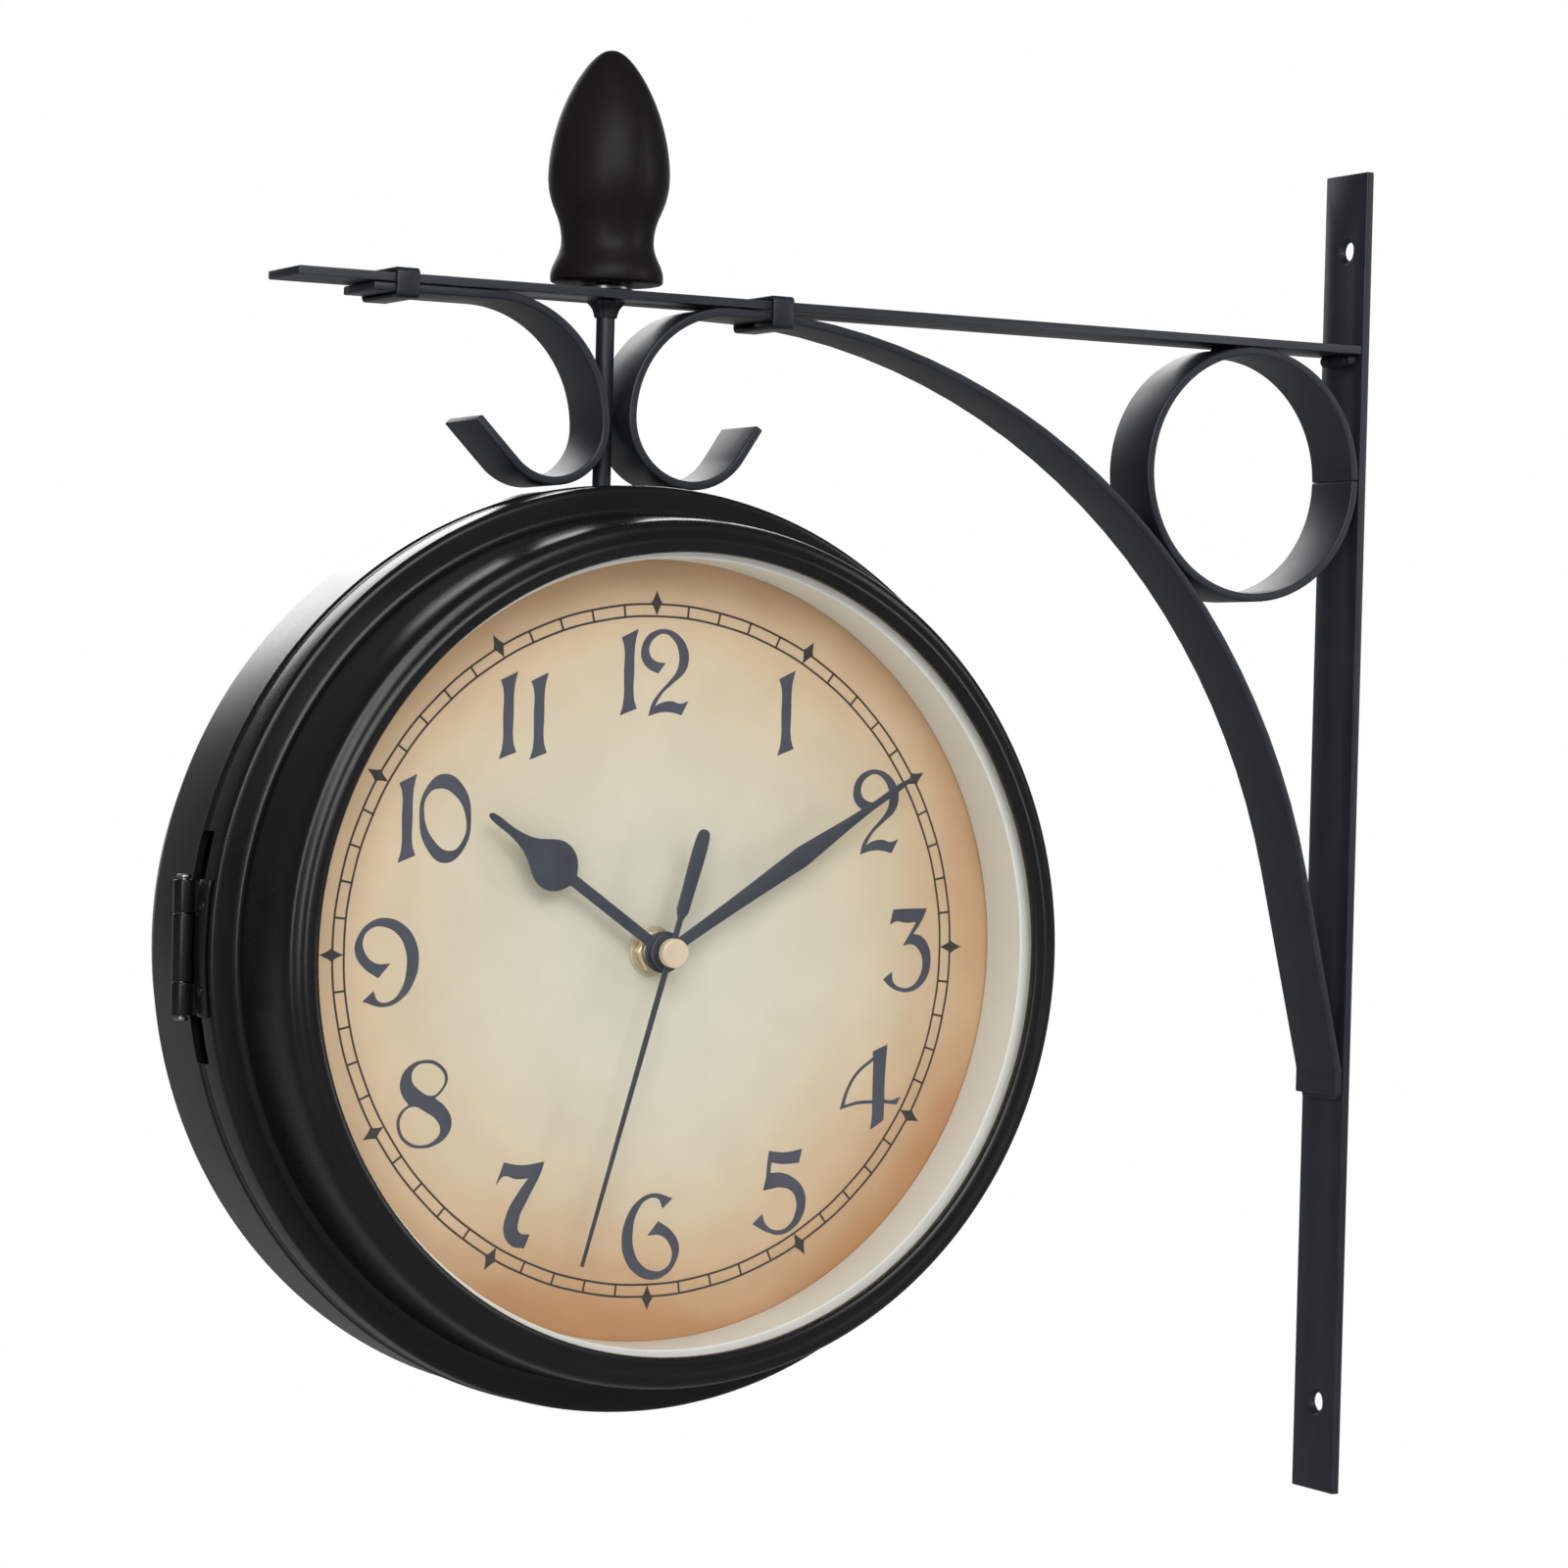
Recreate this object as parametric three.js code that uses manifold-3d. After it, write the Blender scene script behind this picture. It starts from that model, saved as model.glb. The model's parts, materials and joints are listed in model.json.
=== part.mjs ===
// Double sided station clock on a wrought steel wall bracket.
// Millimetres, +Z up. The origin is the middle of the wall bar's back face, +X points into the wall,
// and the front dial faces -Y. The rear side is the front side turned half round about Z.

import * as THREE from 'three';
import { mergeVertices } from 'three/addons/utils/BufferGeometryUtils.js';
import Module from 'manifold-3d';

const wasm = await Module();
wasm.setup();

// ---------------------------------------------------------------- driving dimensions

const CLEARANCE = 0.3;

// Flat steel strip, the same section for every bar of the bracket.
const STRIP_WIDTH = 20;
const STRIP_THICK = 2.3;

const WALL_BAR_LENGTH = 380;
const WALL_HOLE_RADIUS = 2.6;
const WALL_HOLE_TOP_INSET = 22;
const WALL_HOLE_BOTTOM_INSET = 25.4;

const TOP_BAR_DROP = 50; // top face of the top bar below the wall bar's top end
const TOP_BAR_REACH = 332; // from the wall to the free end

const RING_RADIUS = 36;
const RING_STEPS = 36;

const ROD_RADIUS = 2.45;
const ROD_FROM_WALL = 240;

const LEFT_SCROLL_LAP = 311; // free end of the left scroll, from the wall
const LEFT_SCROLL_BIG_RADIUS = 34;
const LEFT_SCROLL_SMALL_RADIUS = 16.2;
const LEFT_SCROLL_TAIL = 15.5;

const RIGHT_SCROLL_BIG_RADIUS = 30.2;
const RIGHT_SCROLL_SMALL_RADIUS = 18.8;
const RIGHT_SCROLL_CURL_DEG = 147;
const RIGHT_SCROLL_TAIL = 10;

const ARCH_SWEEP_DEG = 76;
const ARCH_FOOT = 6;
const ARCH_FOOT_BEND = 10;

const COLLAR_WIDTH = 7.5;
const COLLAR_WALL = 1.2;
const COLLAR_OUTER_FROM_WALL = 302;
const COLLAR_INNER_FROM_WALL = 192.5;
const ARCH_FALL = 1; // how far the arch falls away at the inner collar

const WELD_LEG = 4;

// Finial: radius at each height above its seat.
const FINIAL_PROFILE = [
  [14.4, 0],
  [15.0, 1.6],
  [12.4, 10],
  [12.8, 15],
  [15.3, 21],
  [16.2, 27],
  [15.6, 36],
  [12.8, 46],
  [9.9, 52.1],
  [6.6, 57],
  [3.4, 60.6],
  [0, 62],
];
const FINIAL_BORE_DEPTH = 22;
const FINIAL_WASHER_RADIUS = 7;
const FINIAL_WASHER_THICK = 1.2;

const ROD_WASHER_RADIUS = 5.4;
const ROD_WASHER_THICK = 1.2;
const ROD_NUT_RADIUS = 4.9;
const ROD_NUT_THICK = 3.6;

// Casing, lathe turned shape about Y. Depths are measured from the middle plane of the casing.
const CASE_HANG = 52.2; // from the top bar's top face down to the casing's crown
const CASE_FORWARD = 11; // middle plane of the casing in front of the rod
const CASE_SEGMENTS = 48;
const SMALL_SEGMENTS = 16; // for round pieces less than 15 mm across
const SEAM_DEPTH = 9.5; // the door's edge, in front of the middle plane
const BEAD_DEPTH = 6; // raised bead on the fixed half, behind the middle plane
const BEAD_RISE = 0.5;
const FLANGE_RADIUS = 120;
const BODY_RADIUS = FLANGE_RADIUS - 8;
const LIP_RADIUS = BODY_RADIUS - 10.7; // round the opening
const CASE_HALF_DEPTH = 48;
const FLANGE_STEP_DEPTH = 20; // face of the step between flange and body
const SHEET = 1.3;

const GLASS_RADIUS = BODY_RADIUS - 5.8;
const GLASS_THICK = 2;
const DIAL_DEPTH = CASE_HALF_DEPTH - 23; // printed face of the dial, from the middle plane
const DIAL_THICK = 1;
const SPACER_BORE = LIP_RADIUS - 0.5;
const RETAINER_THICK = 1;
const RETAINER_RADIUS = BODY_RADIUS - 1.8;
const RETAINER_BORE = SPACER_BORE - 3.8;

// Quartz movement, square, with its bay as long as the battery and its springs
const MOVEMENT_DEPTH = 14.8;
const MOVEMENT_WALL = 1.4;
const BATTERY_RADIUS = 7.1;
const BATTERY_LENGTH = 49.5;
const SPRING_SPACE = 3.7;
const MOVEMENT_SIDE = BATTERY_LENGTH + SPRING_SPACE + 2 * MOVEMENT_WALL;
const COVER_THICK = 1.2;
const BUSH_RADIUS = 4;
const BUSH_REACH = 6; // in front of the dial face
const BUSH_FLANGE_RADIUS = 5.6;
const BUSH_FLANGE_THICK = 1;
const WASHER_RADIUS = 6.6;
const WASHER_THICK = 0.8;
const NUT_RADIUS = 5.8;
const NUT_THICK = 2.4;
const HOUR_PIPE_RADIUS = 2.6;
const MINUTE_PIPE_RADIUS = 1.6;
const SECOND_ARBOR_RADIUS = 0.65;
const WHEEL_THICK = 1.1;
const KNOB_RADIUS = 6;
const KNOB_THICK = 3.2;
const KNOB_OFFSET = [9, 13];
const KNOB_STEM_RADIUS = 1.5;

// Hands
const HAND_THICK = 0.5;
const HAND_STEP = 2; // from one hand up to the next
const HOUR_HAND_LENGTH = 62;
const HOUR_BULB_RADIUS = 6.6;
const HOUR_BULB_REACH = 40;
const MINUTE_HAND_LENGTH = 88;
const MINUTE_HAND_HALF_WIDTH = 2.8;
const SECOND_HAND_LENGTH = 83;
const SECOND_HAND_TAIL = 33;
const SECOND_TAIL_HALF_WIDTH = 1.65;
const CAP_RADIUS = 3.4;
const CAP_THICK = 2.6;

// The clock stands at 10:09:33.
const HOURS = 10;
const MINUTES = 9;
const SECONDS = 33;

// Hinge at nine o'clock and magnetic catch at three o'clock
const HINGE_LENGTH = 34;
const HINGE_BARREL_RADIUS = 2.6;
const HINGE_PIN_RADIUS = 1.2;
const HINGE_PIN_HEAD = 0.9;
const LEAF_THICK = 0.9;
const LEAF_WIDTH = 6.5;
const KNUCKLE_ENDS = [-0.5, -0.25, 0.25, 0.5]; // as shares of the hinge's length
const NOTCH_LENGTH = 58; // cut in both halves' edges, round the hinge
const NOTCH_REACH = 3.4;
const MAGNET_SIZE = [6, 5, 16];
const CATCH_PLATE_THICK = 1.2;

// ---------------------------------------------------------------- derived places

const TOP_BAR_TOP = WALL_BAR_LENGTH / 2 - TOP_BAR_DROP;
const TOP_BAR_UNDER = TOP_BAR_TOP - STRIP_THICK;
const WALL_BAR_FRONT = -STRIP_THICK;
const UNDER_LINE = TOP_BAR_UNDER - CLEARANCE; // upper face of the strips that lie under the top bar
const WALL_LINE = WALL_BAR_FRONT - CLEARANCE; // back face of the strips that lie on the wall bar
const ROD_X = -ROD_FROM_WALL;
const CASE_TOP = TOP_BAR_TOP - CASE_HANG;
const CASE_CENTRE = new THREE.Vector3(ROD_X, -CASE_FORWARD, CASE_TOP - FLANGE_RADIUS);
const SCROLL_CROWN_X = ROD_X + ROD_RADIUS + CLEARANCE + RIGHT_SCROLL_BIG_RADIUS;
const RING_CENTRE = new THREE.Vector2(WALL_LINE - RING_RADIUS, UNDER_LINE - RING_RADIUS);
const FINIAL_SEAT = TOP_BAR_TOP + FINIAL_WASHER_THICK + 2 * CLEARANCE;
const ROD_WASHER_TOP = CASE_TOP - SHEET - 2 * CLEARANCE;
const ROD_NUT_TOP = ROD_WASHER_TOP - ROD_WASHER_THICK - CLEARANCE;
const ROD_FOOT = ROD_NUT_TOP - 2 * ROD_NUT_THICK - 2;

const LIP_SEAT = CASE_HALF_DEPTH - 3; // inner face of the lip, where the glass rests
const GLASS_FRONT = LIP_SEAT - CLEARANCE;
const GLASS_BACK = GLASS_FRONT - GLASS_THICK;
const SPACER_FRONT = GLASS_BACK - CLEARANCE;
const SPACER_BACK = DIAL_DEPTH + CLEARANCE;
const DIAL_BACK = DIAL_DEPTH - DIAL_THICK;
const RETAINER_FRONT = DIAL_BACK - CLEARANCE;
const MOVEMENT_FRONT = DIAL_BACK - CLEARANCE;
const MOVEMENT_BACK = MOVEMENT_FRONT - MOVEMENT_DEPTH;
const MOVEMENT_FLOOR = MOVEMENT_FRONT - MOVEMENT_WALL;
const WASHER_BACK = DIAL_DEPTH + CLEARANCE;
const NUT_BACK = WASHER_BACK + WASHER_THICK + CLEARANCE;
const HOUR_HAND_DEPTH = DIAL_DEPTH + BUSH_REACH + CLEARANCE;
const MINUTE_HAND_DEPTH = HOUR_HAND_DEPTH + HAND_STEP;
const SECOND_HAND_DEPTH = MINUTE_HAND_DEPTH + HAND_STEP;

const BUSH_FLANGE_FRONT = MOVEMENT_FLOOR - CLEARANCE;
const BATTERY_BAY_TOP = -MOVEMENT_SIDE / 2 + MOVEMENT_WALL + 2 * (BATTERY_RADIUS + CLEARANCE);
const COVER_FRONT = MOVEMENT_BACK - CLEARANCE;
const COVER_BACK = COVER_FRONT - COVER_THICK;
const KNOB_FRONT = COVER_BACK - CLEARANCE;

// Measured from the casing's centre
const HINGE_AXIS_X = -FLANGE_RADIUS - CLEARANCE - HINGE_BARREL_RADIUS;
const MAGNET_WALL = FLANGE_RADIUS - SHEET - 0.8;

// ---------------------------------------------------------------- materials

function paint(color, roughness, metalness) {
  return new THREE.MeshStandardMaterial({ color, roughness, metalness });
}

const BLACK_STEEL = paint(0x2b2d33, 0.5, 0.3);
const BLACK_CASE = paint(0x1c1d20, 0.35, 0.3);
const DARK_WOOD = paint(0x241d1c, 0.45, 0);
const ZINC = paint(0x9a9ca0, 0.35, 0.9);
const BRASS = paint(0xb89a54, 0.3, 0.9);
const CHAMPAGNE = paint(0xcbb69a, 0.35, 0.8);
const GLASS = paint(0xdfe8e8, 0.05, 0);
const IVORY_RING = paint(0xd8d2c4, 0.6, 0);
const DIAL_PRINT = paint(0xe0c9a4, 0.8, 0);
const SLATE = paint(0x4a4d57, 0.5, 0.1);
const BLACK_PLASTIC = paint(0x202124, 0.6, 0);
const WHITE_PLASTIC = paint(0xdedcd4, 0.55, 0);
const BATTERY_SLEEVE = paint(0x3c5a78, 0.4, 0.2);

// ---------------------------------------------------------------- geometry helpers

// One closed body with shared vertices, no flat triangles and its faces pointing out.
function closedBody(geometry) {
  const bare = geometry.index ? geometry.toNonIndexed() : geometry.clone();
  bare.deleteAttribute('normal');
  bare.deleteAttribute('uv');
  const merged = mergeVertices(bare, 1e-4);
  const position = merged.getAttribute('position');
  const old = merged.getIndex().array;
  const faces = [];
  const a = new THREE.Vector3();
  const b = new THREE.Vector3();
  const c = new THREE.Vector3();
  let volume = 0;
  for (let i = 0; i < old.length; i += 3) {
    const [p, q, r] = [old[i], old[i + 1], old[i + 2]];
    if (p === q || q === r || r === p) continue;
    faces.push([p, q, r]);
    a.fromBufferAttribute(position, p);
    b.fromBufferAttribute(position, q);
    c.fromBufferAttribute(position, r);
    volume += a.dot(b.cross(c));
  }
  const index = faces.flatMap(([p, q, r]) => (volume > 0 ? [p, q, r] : [p, r, q]));
  merged.setIndex(index);
  return merged;
}

function toManifold(geometry) {
  const body = closedBody(geometry);
  return new wasm.Manifold(
    new wasm.Mesh({
      numProp: 3,
      vertProperties: new Float32Array(body.getAttribute('position').array),
      triVerts: new Uint32Array(body.getIndex().array),
    }),
  );
}

function fromManifold(solid) {
  const mesh = solid.getMesh();
  const geometry = new THREE.BufferGeometry();
  geometry.setAttribute('position', new THREE.BufferAttribute(mesh.vertProperties, 3));
  geometry.setIndex(new THREE.BufferAttribute(mesh.triVerts, 1));
  return geometry;
}

function cut(body, ...tools) {
  let solid = toManifold(body);
  for (const tool of tools) solid = solid.subtract(toManifold(tool));
  return fromManifold(solid);
}

function join(...bodies) {
  let solid = toManifold(bodies[0]);
  for (const body of bodies.slice(1)) solid = solid.add(toManifold(body));
  return fromManifold(solid);
}

function boxBetween(low, high) {
  const size = high.map((value, i) => value - low[i]);
  const middle = high.map((value, i) => (value + low[i]) / 2);
  return new THREE.BoxGeometry(...size).translate(...middle);
}

// Closed outline of [radius, depth] pairs turned about Y. Depth runs towards the front, -Y.
function turned(profile, segments = CASE_SEGMENTS) {
  const points = profile.map(([radius, depth]) => new THREE.Vector2(radius, -depth));
  if (profile[0][0] > 0) points.push(points[0].clone());
  return new THREE.LatheGeometry(points, segments);
}

function tube(outer, bore, back, front, segments = SMALL_SEGMENTS) {
  const profile = [
    [outer, back],
    [outer, front],
    [bore, front],
    [bore, back],
  ];
  return turned(profile, segments);
}

function disc(radius, back, front, segments = SMALL_SEGMENTS) {
  const profile = [
    [0, back],
    [radius, back],
    [radius, front],
    [0, front],
  ];
  return turned(profile, segments);
}

// Six sided nut with a round bore.
function hexNut(radius, bore, back, front) {
  return cut(disc(radius, back, front, 6), disc(bore, back - 1, front + 1));
}

// The same shapes with their axis along Z.
function upright(geometry) {
  return geometry.rotateX(-Math.PI / 2);
}

// Outline in X and Z, given as a THREE.Shape, made solid between two values of y.
function slab(shape, low, high, curveSegments = 8) {
  const geometry = new THREE.ExtrudeGeometry(shape, { depth: high - low, bevelEnabled: false, curveSegments });
  return geometry.rotateX(Math.PI / 2).translate(0, high, 0);
}

function circleHole(x, y, radius) {
  const hole = new THREE.Path();
  hole.absarc(x, y, radius, 0, 2 * Math.PI, true);
  return hole;
}

// The two faces of a bent strip, as points in X and Z. A step is a straight run or an arc of the
// face that the path follows; the other face lies one thickness to its left (+1) or right (-1).
function bend(start, headingDeg, inside, steps) {
  const outer = [];
  const inner = [];
  const leftOf = (angle) => new THREE.Vector2(-Math.sin(angle), Math.cos(angle));
  const add = (at, angle) => {
    outer.push(at.clone());
    inner.push(at.clone().addScaledVector(leftOf(angle), inside * STRIP_THICK));
  };
  let point = new THREE.Vector2(...start);
  let heading = THREE.MathUtils.degToRad(headingDeg);
  add(point, heading);
  for (const step of steps) {
    if (step.run) {
      point = point.clone().add(new THREE.Vector2(Math.cos(heading), Math.sin(heading)).multiplyScalar(step.run));
      add(point, heading);
      continue;
    }
    const sweep = THREE.MathUtils.degToRad(step.sweep);
    const turn = Math.sign(sweep);
    const centre = point.clone().addScaledVector(leftOf(heading), turn * step.radius);
    for (let i = 1; i <= step.count; i += 1) {
      const angle = heading + (sweep * i) / step.count;
      point = centre.clone().addScaledVector(leftOf(angle), -turn * step.radius);
      add(point, angle);
    }
    heading += sweep;
  }
  return { outer, inner };
}

function stripSolid(outer, inner) {
  const outline = new THREE.Shape([...outer, ...[...inner].reverse()]);
  return slab(outline, -STRIP_WIDTH / 2, STRIP_WIDTH / 2);
}

const clock = new THREE.Group();

function addPiece(parent, name, geometry, material) {
  const mesh = new THREE.Mesh(closedBody(geometry), material);
  mesh.name = name;
  parent.add(mesh);
  return mesh;
}

// ---------------------------------------------------------------- bracket

function wallBar() {
  const half = WALL_BAR_LENGTH / 2;
  const plate = boxBetween([-STRIP_THICK, -STRIP_WIDTH / 2, -half], [0, STRIP_WIDTH / 2, half]);
  const heights = [half - WALL_HOLE_TOP_INSET, -half + WALL_HOLE_BOTTOM_INSET];
  const drills = heights.map((z) =>
    new THREE.CylinderGeometry(WALL_HOLE_RADIUS, WALL_HOLE_RADIUS, 3 * STRIP_THICK, SMALL_SEGMENTS)
      .rotateZ(Math.PI / 2)
      .translate(0, 0, z),
  );
  return cut(plate, ...drills);
}

function topBar() {
  const plate = boxBetween(
    [-TOP_BAR_REACH, -STRIP_WIDTH / 2, TOP_BAR_UNDER],
    [WALL_LINE, STRIP_WIDTH / 2, TOP_BAR_TOP],
  );
  const rodHole = upright(disc(ROD_RADIUS + CLEARANCE, -STRIP_THICK, STRIP_THICK)).translate(ROD_X, 0, TOP_BAR_TOP);
  return cut(plate, rodHole);
}

// Left scroll: flat under the top bar, round to the rod, and a curl that opens to the left.
function leftScroll() {
  const flat = LEFT_SCROLL_LAP - ROD_FROM_WALL - ROD_RADIUS - CLEARANCE - LEFT_SCROLL_BIG_RADIUS;
  const faces = bend([-LEFT_SCROLL_LAP, UNDER_LINE], 0, -1, [
    { run: flat },
    { radius: LEFT_SCROLL_BIG_RADIUS, sweep: -90, count: 12 },
    { radius: LEFT_SCROLL_SMALL_RADIUS, sweep: -135, count: 14 },
    { run: LEFT_SCROLL_TAIL },
  ]);
  return stripSolid(faces.outer, faces.inner);
}

// Radius at which the arch leaves the top bar at the scroll's crown and just clears the ring.
function archRadius() {
  const across = RING_CENTRE.x - SCROLL_CROWN_X;
  const below = UNDER_LINE - RING_CENTRE.y;
  const reach = RING_RADIUS + CLEARANCE;
  return (across ** 2 + below ** 2 - reach ** 2) / (2 * (reach + below));
}

// Brace: one strip from the foot on the wall bar, over the arch, to the right scroll's curl.
// It is drawn both ways from the scroll's crown under the top bar.
function brace() {
  const radius = archRadius();
  const sweep = THREE.MathUtils.degToRad(ARCH_SWEEP_DEG);
  const archEndX = SCROLL_CROWN_X + radius * Math.sin(sweep);
  const bendReach = ARCH_FOOT_BEND * (1 - Math.sin(sweep));
  const straight = (WALL_LINE - bendReach - archEndX) / Math.cos(sweep);
  const arch = bend([SCROLL_CROWN_X, UNDER_LINE], 0, -1, [
    { radius, sweep: -ARCH_SWEEP_DEG, count: 24 },
    { run: straight },
    { radius: ARCH_FOOT_BEND, sweep: ARCH_SWEEP_DEG - 90, count: 3 },
    { run: ARCH_FOOT },
  ]);
  const curl = bend([SCROLL_CROWN_X, UNDER_LINE], 180, 1, [
    { radius: RIGHT_SCROLL_BIG_RADIUS, sweep: 90, count: 12 },
    { radius: RIGHT_SCROLL_SMALL_RADIUS, sweep: RIGHT_SCROLL_CURL_DEG, count: 15 },
    { run: RIGHT_SCROLL_TAIL },
  ]);
  const joined = (face) => [...[...curl[face]].reverse(), ...arch[face].slice(1)];
  return stripSolid(joined('outer'), joined('inner'));
}

function braceRing() {
  const ring = tube(RING_RADIUS, RING_RADIUS - STRIP_THICK, -STRIP_WIDTH / 2, STRIP_WIDTH / 2, RING_STEPS);
  return ring.translate(RING_CENTRE.x, 0, RING_CENTRE.y);
}

// Collar that binds a scroll's strip to the top bar. fall leaves room for a strip that slopes away.
function collar(x, fall) {
  const low = UNDER_LINE - STRIP_THICK - CLEARANCE - fall;
  const high = TOP_BAR_TOP + CLEARANCE;
  const half = STRIP_WIDTH / 2 + CLEARANCE;
  const reach = COLLAR_WIDTH / 2;
  const outside = boxBetween(
    [x - reach, -half - COLLAR_WALL, low - COLLAR_WALL],
    [x + reach, half + COLLAR_WALL, high + COLLAR_WALL],
  );
  return cut(outside, boxBetween([x - COLLAR_WIDTH, -half, low], [x + COLLAR_WIDTH, half, high]));
}

// Weld fillet in the corner between the top bar and the wall bar.
function cornerWeld() {
  const hollow = 0.35 * WELD_LEG;
  const shape = new THREE.Shape([
    new THREE.Vector2(WALL_LINE, UNDER_LINE),
    new THREE.Vector2(WALL_LINE - WELD_LEG, UNDER_LINE),
    new THREE.Vector2(WALL_LINE - hollow, UNDER_LINE - hollow),
    new THREE.Vector2(WALL_LINE, UNDER_LINE - WELD_LEG),
  ]);
  return slab(shape, -0.4 * STRIP_WIDTH, 0.4 * STRIP_WIDTH);
}

// Weld fillet round the rod under the top bar.
function rodWeld() {
  const bore = ROD_RADIUS + CLEARANCE;
  const profile = [
    [bore, UNDER_LINE - WELD_LEG],
    [bore + 0.4, UNDER_LINE - WELD_LEG],
    [bore + 2.2, UNDER_LINE],
    [bore, UNDER_LINE],
  ];
  return upright(turned(profile, SMALL_SEGMENTS)).translate(ROD_X, 0, 0);
}

function finialWasher() {
  const low = TOP_BAR_TOP + CLEARANCE;
  const washer = tube(FINIAL_WASHER_RADIUS, ROD_RADIUS + CLEARANCE, low, low + FINIAL_WASHER_THICK);
  return upright(washer).translate(ROD_X, 0, 0);
}

function finial() {
  const bore = ROD_RADIUS + CLEARANCE;
  const hollow = [
    [0, FINIAL_BORE_DEPTH],
    [bore, FINIAL_BORE_DEPTH],
    [bore, 0],
  ];
  return upright(turned([...hollow, ...FINIAL_PROFILE], 24)).translate(ROD_X, 0, FINIAL_SEAT);
}

function hangerRod() {
  const high = FINIAL_SEAT + FINIAL_BORE_DEPTH - CLEARANCE;
  return upright(disc(ROD_RADIUS, ROD_FOOT, high)).translate(ROD_X, 0, 0);
}

function rodWasher() {
  const washer = tube(ROD_WASHER_RADIUS, ROD_RADIUS + CLEARANCE, ROD_WASHER_TOP - ROD_WASHER_THICK, ROD_WASHER_TOP);
  return upright(washer).translate(ROD_X, 0, 0);
}

function rodNut(top) {
  const nut = hexNut(ROD_NUT_RADIUS, ROD_RADIUS + CLEARANCE, top - ROD_NUT_THICK, top);
  return upright(nut).translate(ROD_X, 0, 0);
}

addPiece(clock, 'wall_bar', wallBar(), BLACK_STEEL);
addPiece(clock, 'top_bar', topBar(), BLACK_STEEL);
addPiece(clock, 'brace_strip', brace(), BLACK_STEEL);
addPiece(clock, 'left_scroll', leftScroll(), BLACK_STEEL);
addPiece(clock, 'brace_ring', braceRing(), BLACK_STEEL);
addPiece(clock, 'collar_outer', collar(-COLLAR_OUTER_FROM_WALL, 0), BLACK_STEEL);
addPiece(clock, 'collar_inner', collar(-COLLAR_INNER_FROM_WALL, ARCH_FALL), BLACK_STEEL);
addPiece(clock, 'corner_weld', cornerWeld(), BLACK_STEEL);
addPiece(clock, 'rod_weld', rodWeld(), BLACK_STEEL);
addPiece(clock, 'finial_washer', finialWasher(), ZINC);
addPiece(clock, 'finial', finial(), DARK_WOOD);
addPiece(clock, 'hanger_rod', hangerRod(), BLACK_STEEL);
addPiece(clock, 'rod_washer', rodWasher(), ZINC);
addPiece(clock, 'rod_nut', rodNut(ROD_NUT_TOP), ZINC);
addPiece(clock, 'rod_lock_nut', rodNut(ROD_NUT_TOP - ROD_NUT_THICK - CLEARANCE), ZINC);

// ---------------------------------------------------------------- casing

// Sheet metal half of the casing, from its edge to the lip round the opening.
// The outer outline runs from the edge to the lip, the inner one back again.
function caseHalf(edge, bead) {
  const flange = FLANGE_RADIUS;
  const body = BODY_RADIUS;
  const step = FLANGE_STEP_DEPTH;
  const front = CASE_HALF_DEPTH;
  const outer = [
    [flange, edge],
    ...bead,
    [flange, step - 1.6],
    [flange - 1.6, step],
    [flange - 4.8, step],
    [body + 0.3, step - 0.4],
    [body, step + 2],
    [body - 1.3, front - 5],
    [body - 3, front - 1.8],
    [body - 4.6, front - 1.8],
    [body - 6.6, front - 0.3],
    [LIP_RADIUS + 1.2, front],
    [LIP_RADIUS, front - 1],
  ];
  const inner = [
    [LIP_RADIUS, LIP_SEAT],
    [body - 4.8, LIP_SEAT],
    [body - 2.6, front - 5],
    [body - SHEET, step + 1.6],
    [body - 1.1, step - 1.2],
    [body + 1, step - 2.4],
    [flange - 1.9, step - 2.4],
    [flange - SHEET, step - 3.6],
    [flange - SHEET, edge],
  ];
  return turned([...outer, ...inner]);
}

// Raised bead round the fixed half, level with the hinge's far edge.
const BEAD = [
  [FLANGE_RADIUS, BEAD_DEPTH - 1.2],
  [FLANGE_RADIUS + BEAD_RISE, BEAD_DEPTH - 0.5],
  [FLANGE_RADIUS + BEAD_RISE, BEAD_DEPTH + 0.5],
  [FLANGE_RADIUS, BEAD_DEPTH + 1.2],
];

// Notch in a half's edge at nine o'clock, so that the hinge's barrel lies free.
function hingeNotch() {
  const inside = -FLANGE_RADIUS + 2 * SHEET + NOTCH_REACH;
  const y = -SEAM_DEPTH;
  return boxBetween(
    [-FLANGE_RADIUS - SHEET, y - NOTCH_REACH, -NOTCH_LENGTH / 2],
    [inside, y + NOTCH_REACH, NOTCH_LENGTH / 2],
  );
}

function fixedHalf() {
  const half = caseHalf(-SEAM_DEPTH + CLEARANCE / 2, BEAD).rotateZ(Math.PI);
  const rodHole = upright(disc(ROD_RADIUS + CLEARANCE, BODY_RADIUS, FLANGE_RADIUS + 3)).translate(0, CASE_FORWARD, 0);
  return cut(half, rodHole, hingeNotch());
}

function doorHalf() {
  return cut(caseHalf(SEAM_DEPTH + CLEARANCE / 2, []), hingeNotch());
}

const fixedSide = new THREE.Group();
fixedSide.position.copy(CASE_CENTRE);
clock.add(fixedSide);
addPiece(fixedSide, 'rear_case', fixedHalf(), BLACK_CASE);
addPiece(fixedSide, 'front_case', doorHalf(), BLACK_CASE);

// ---------------------------------------------------------------- hinge and catch

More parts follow.
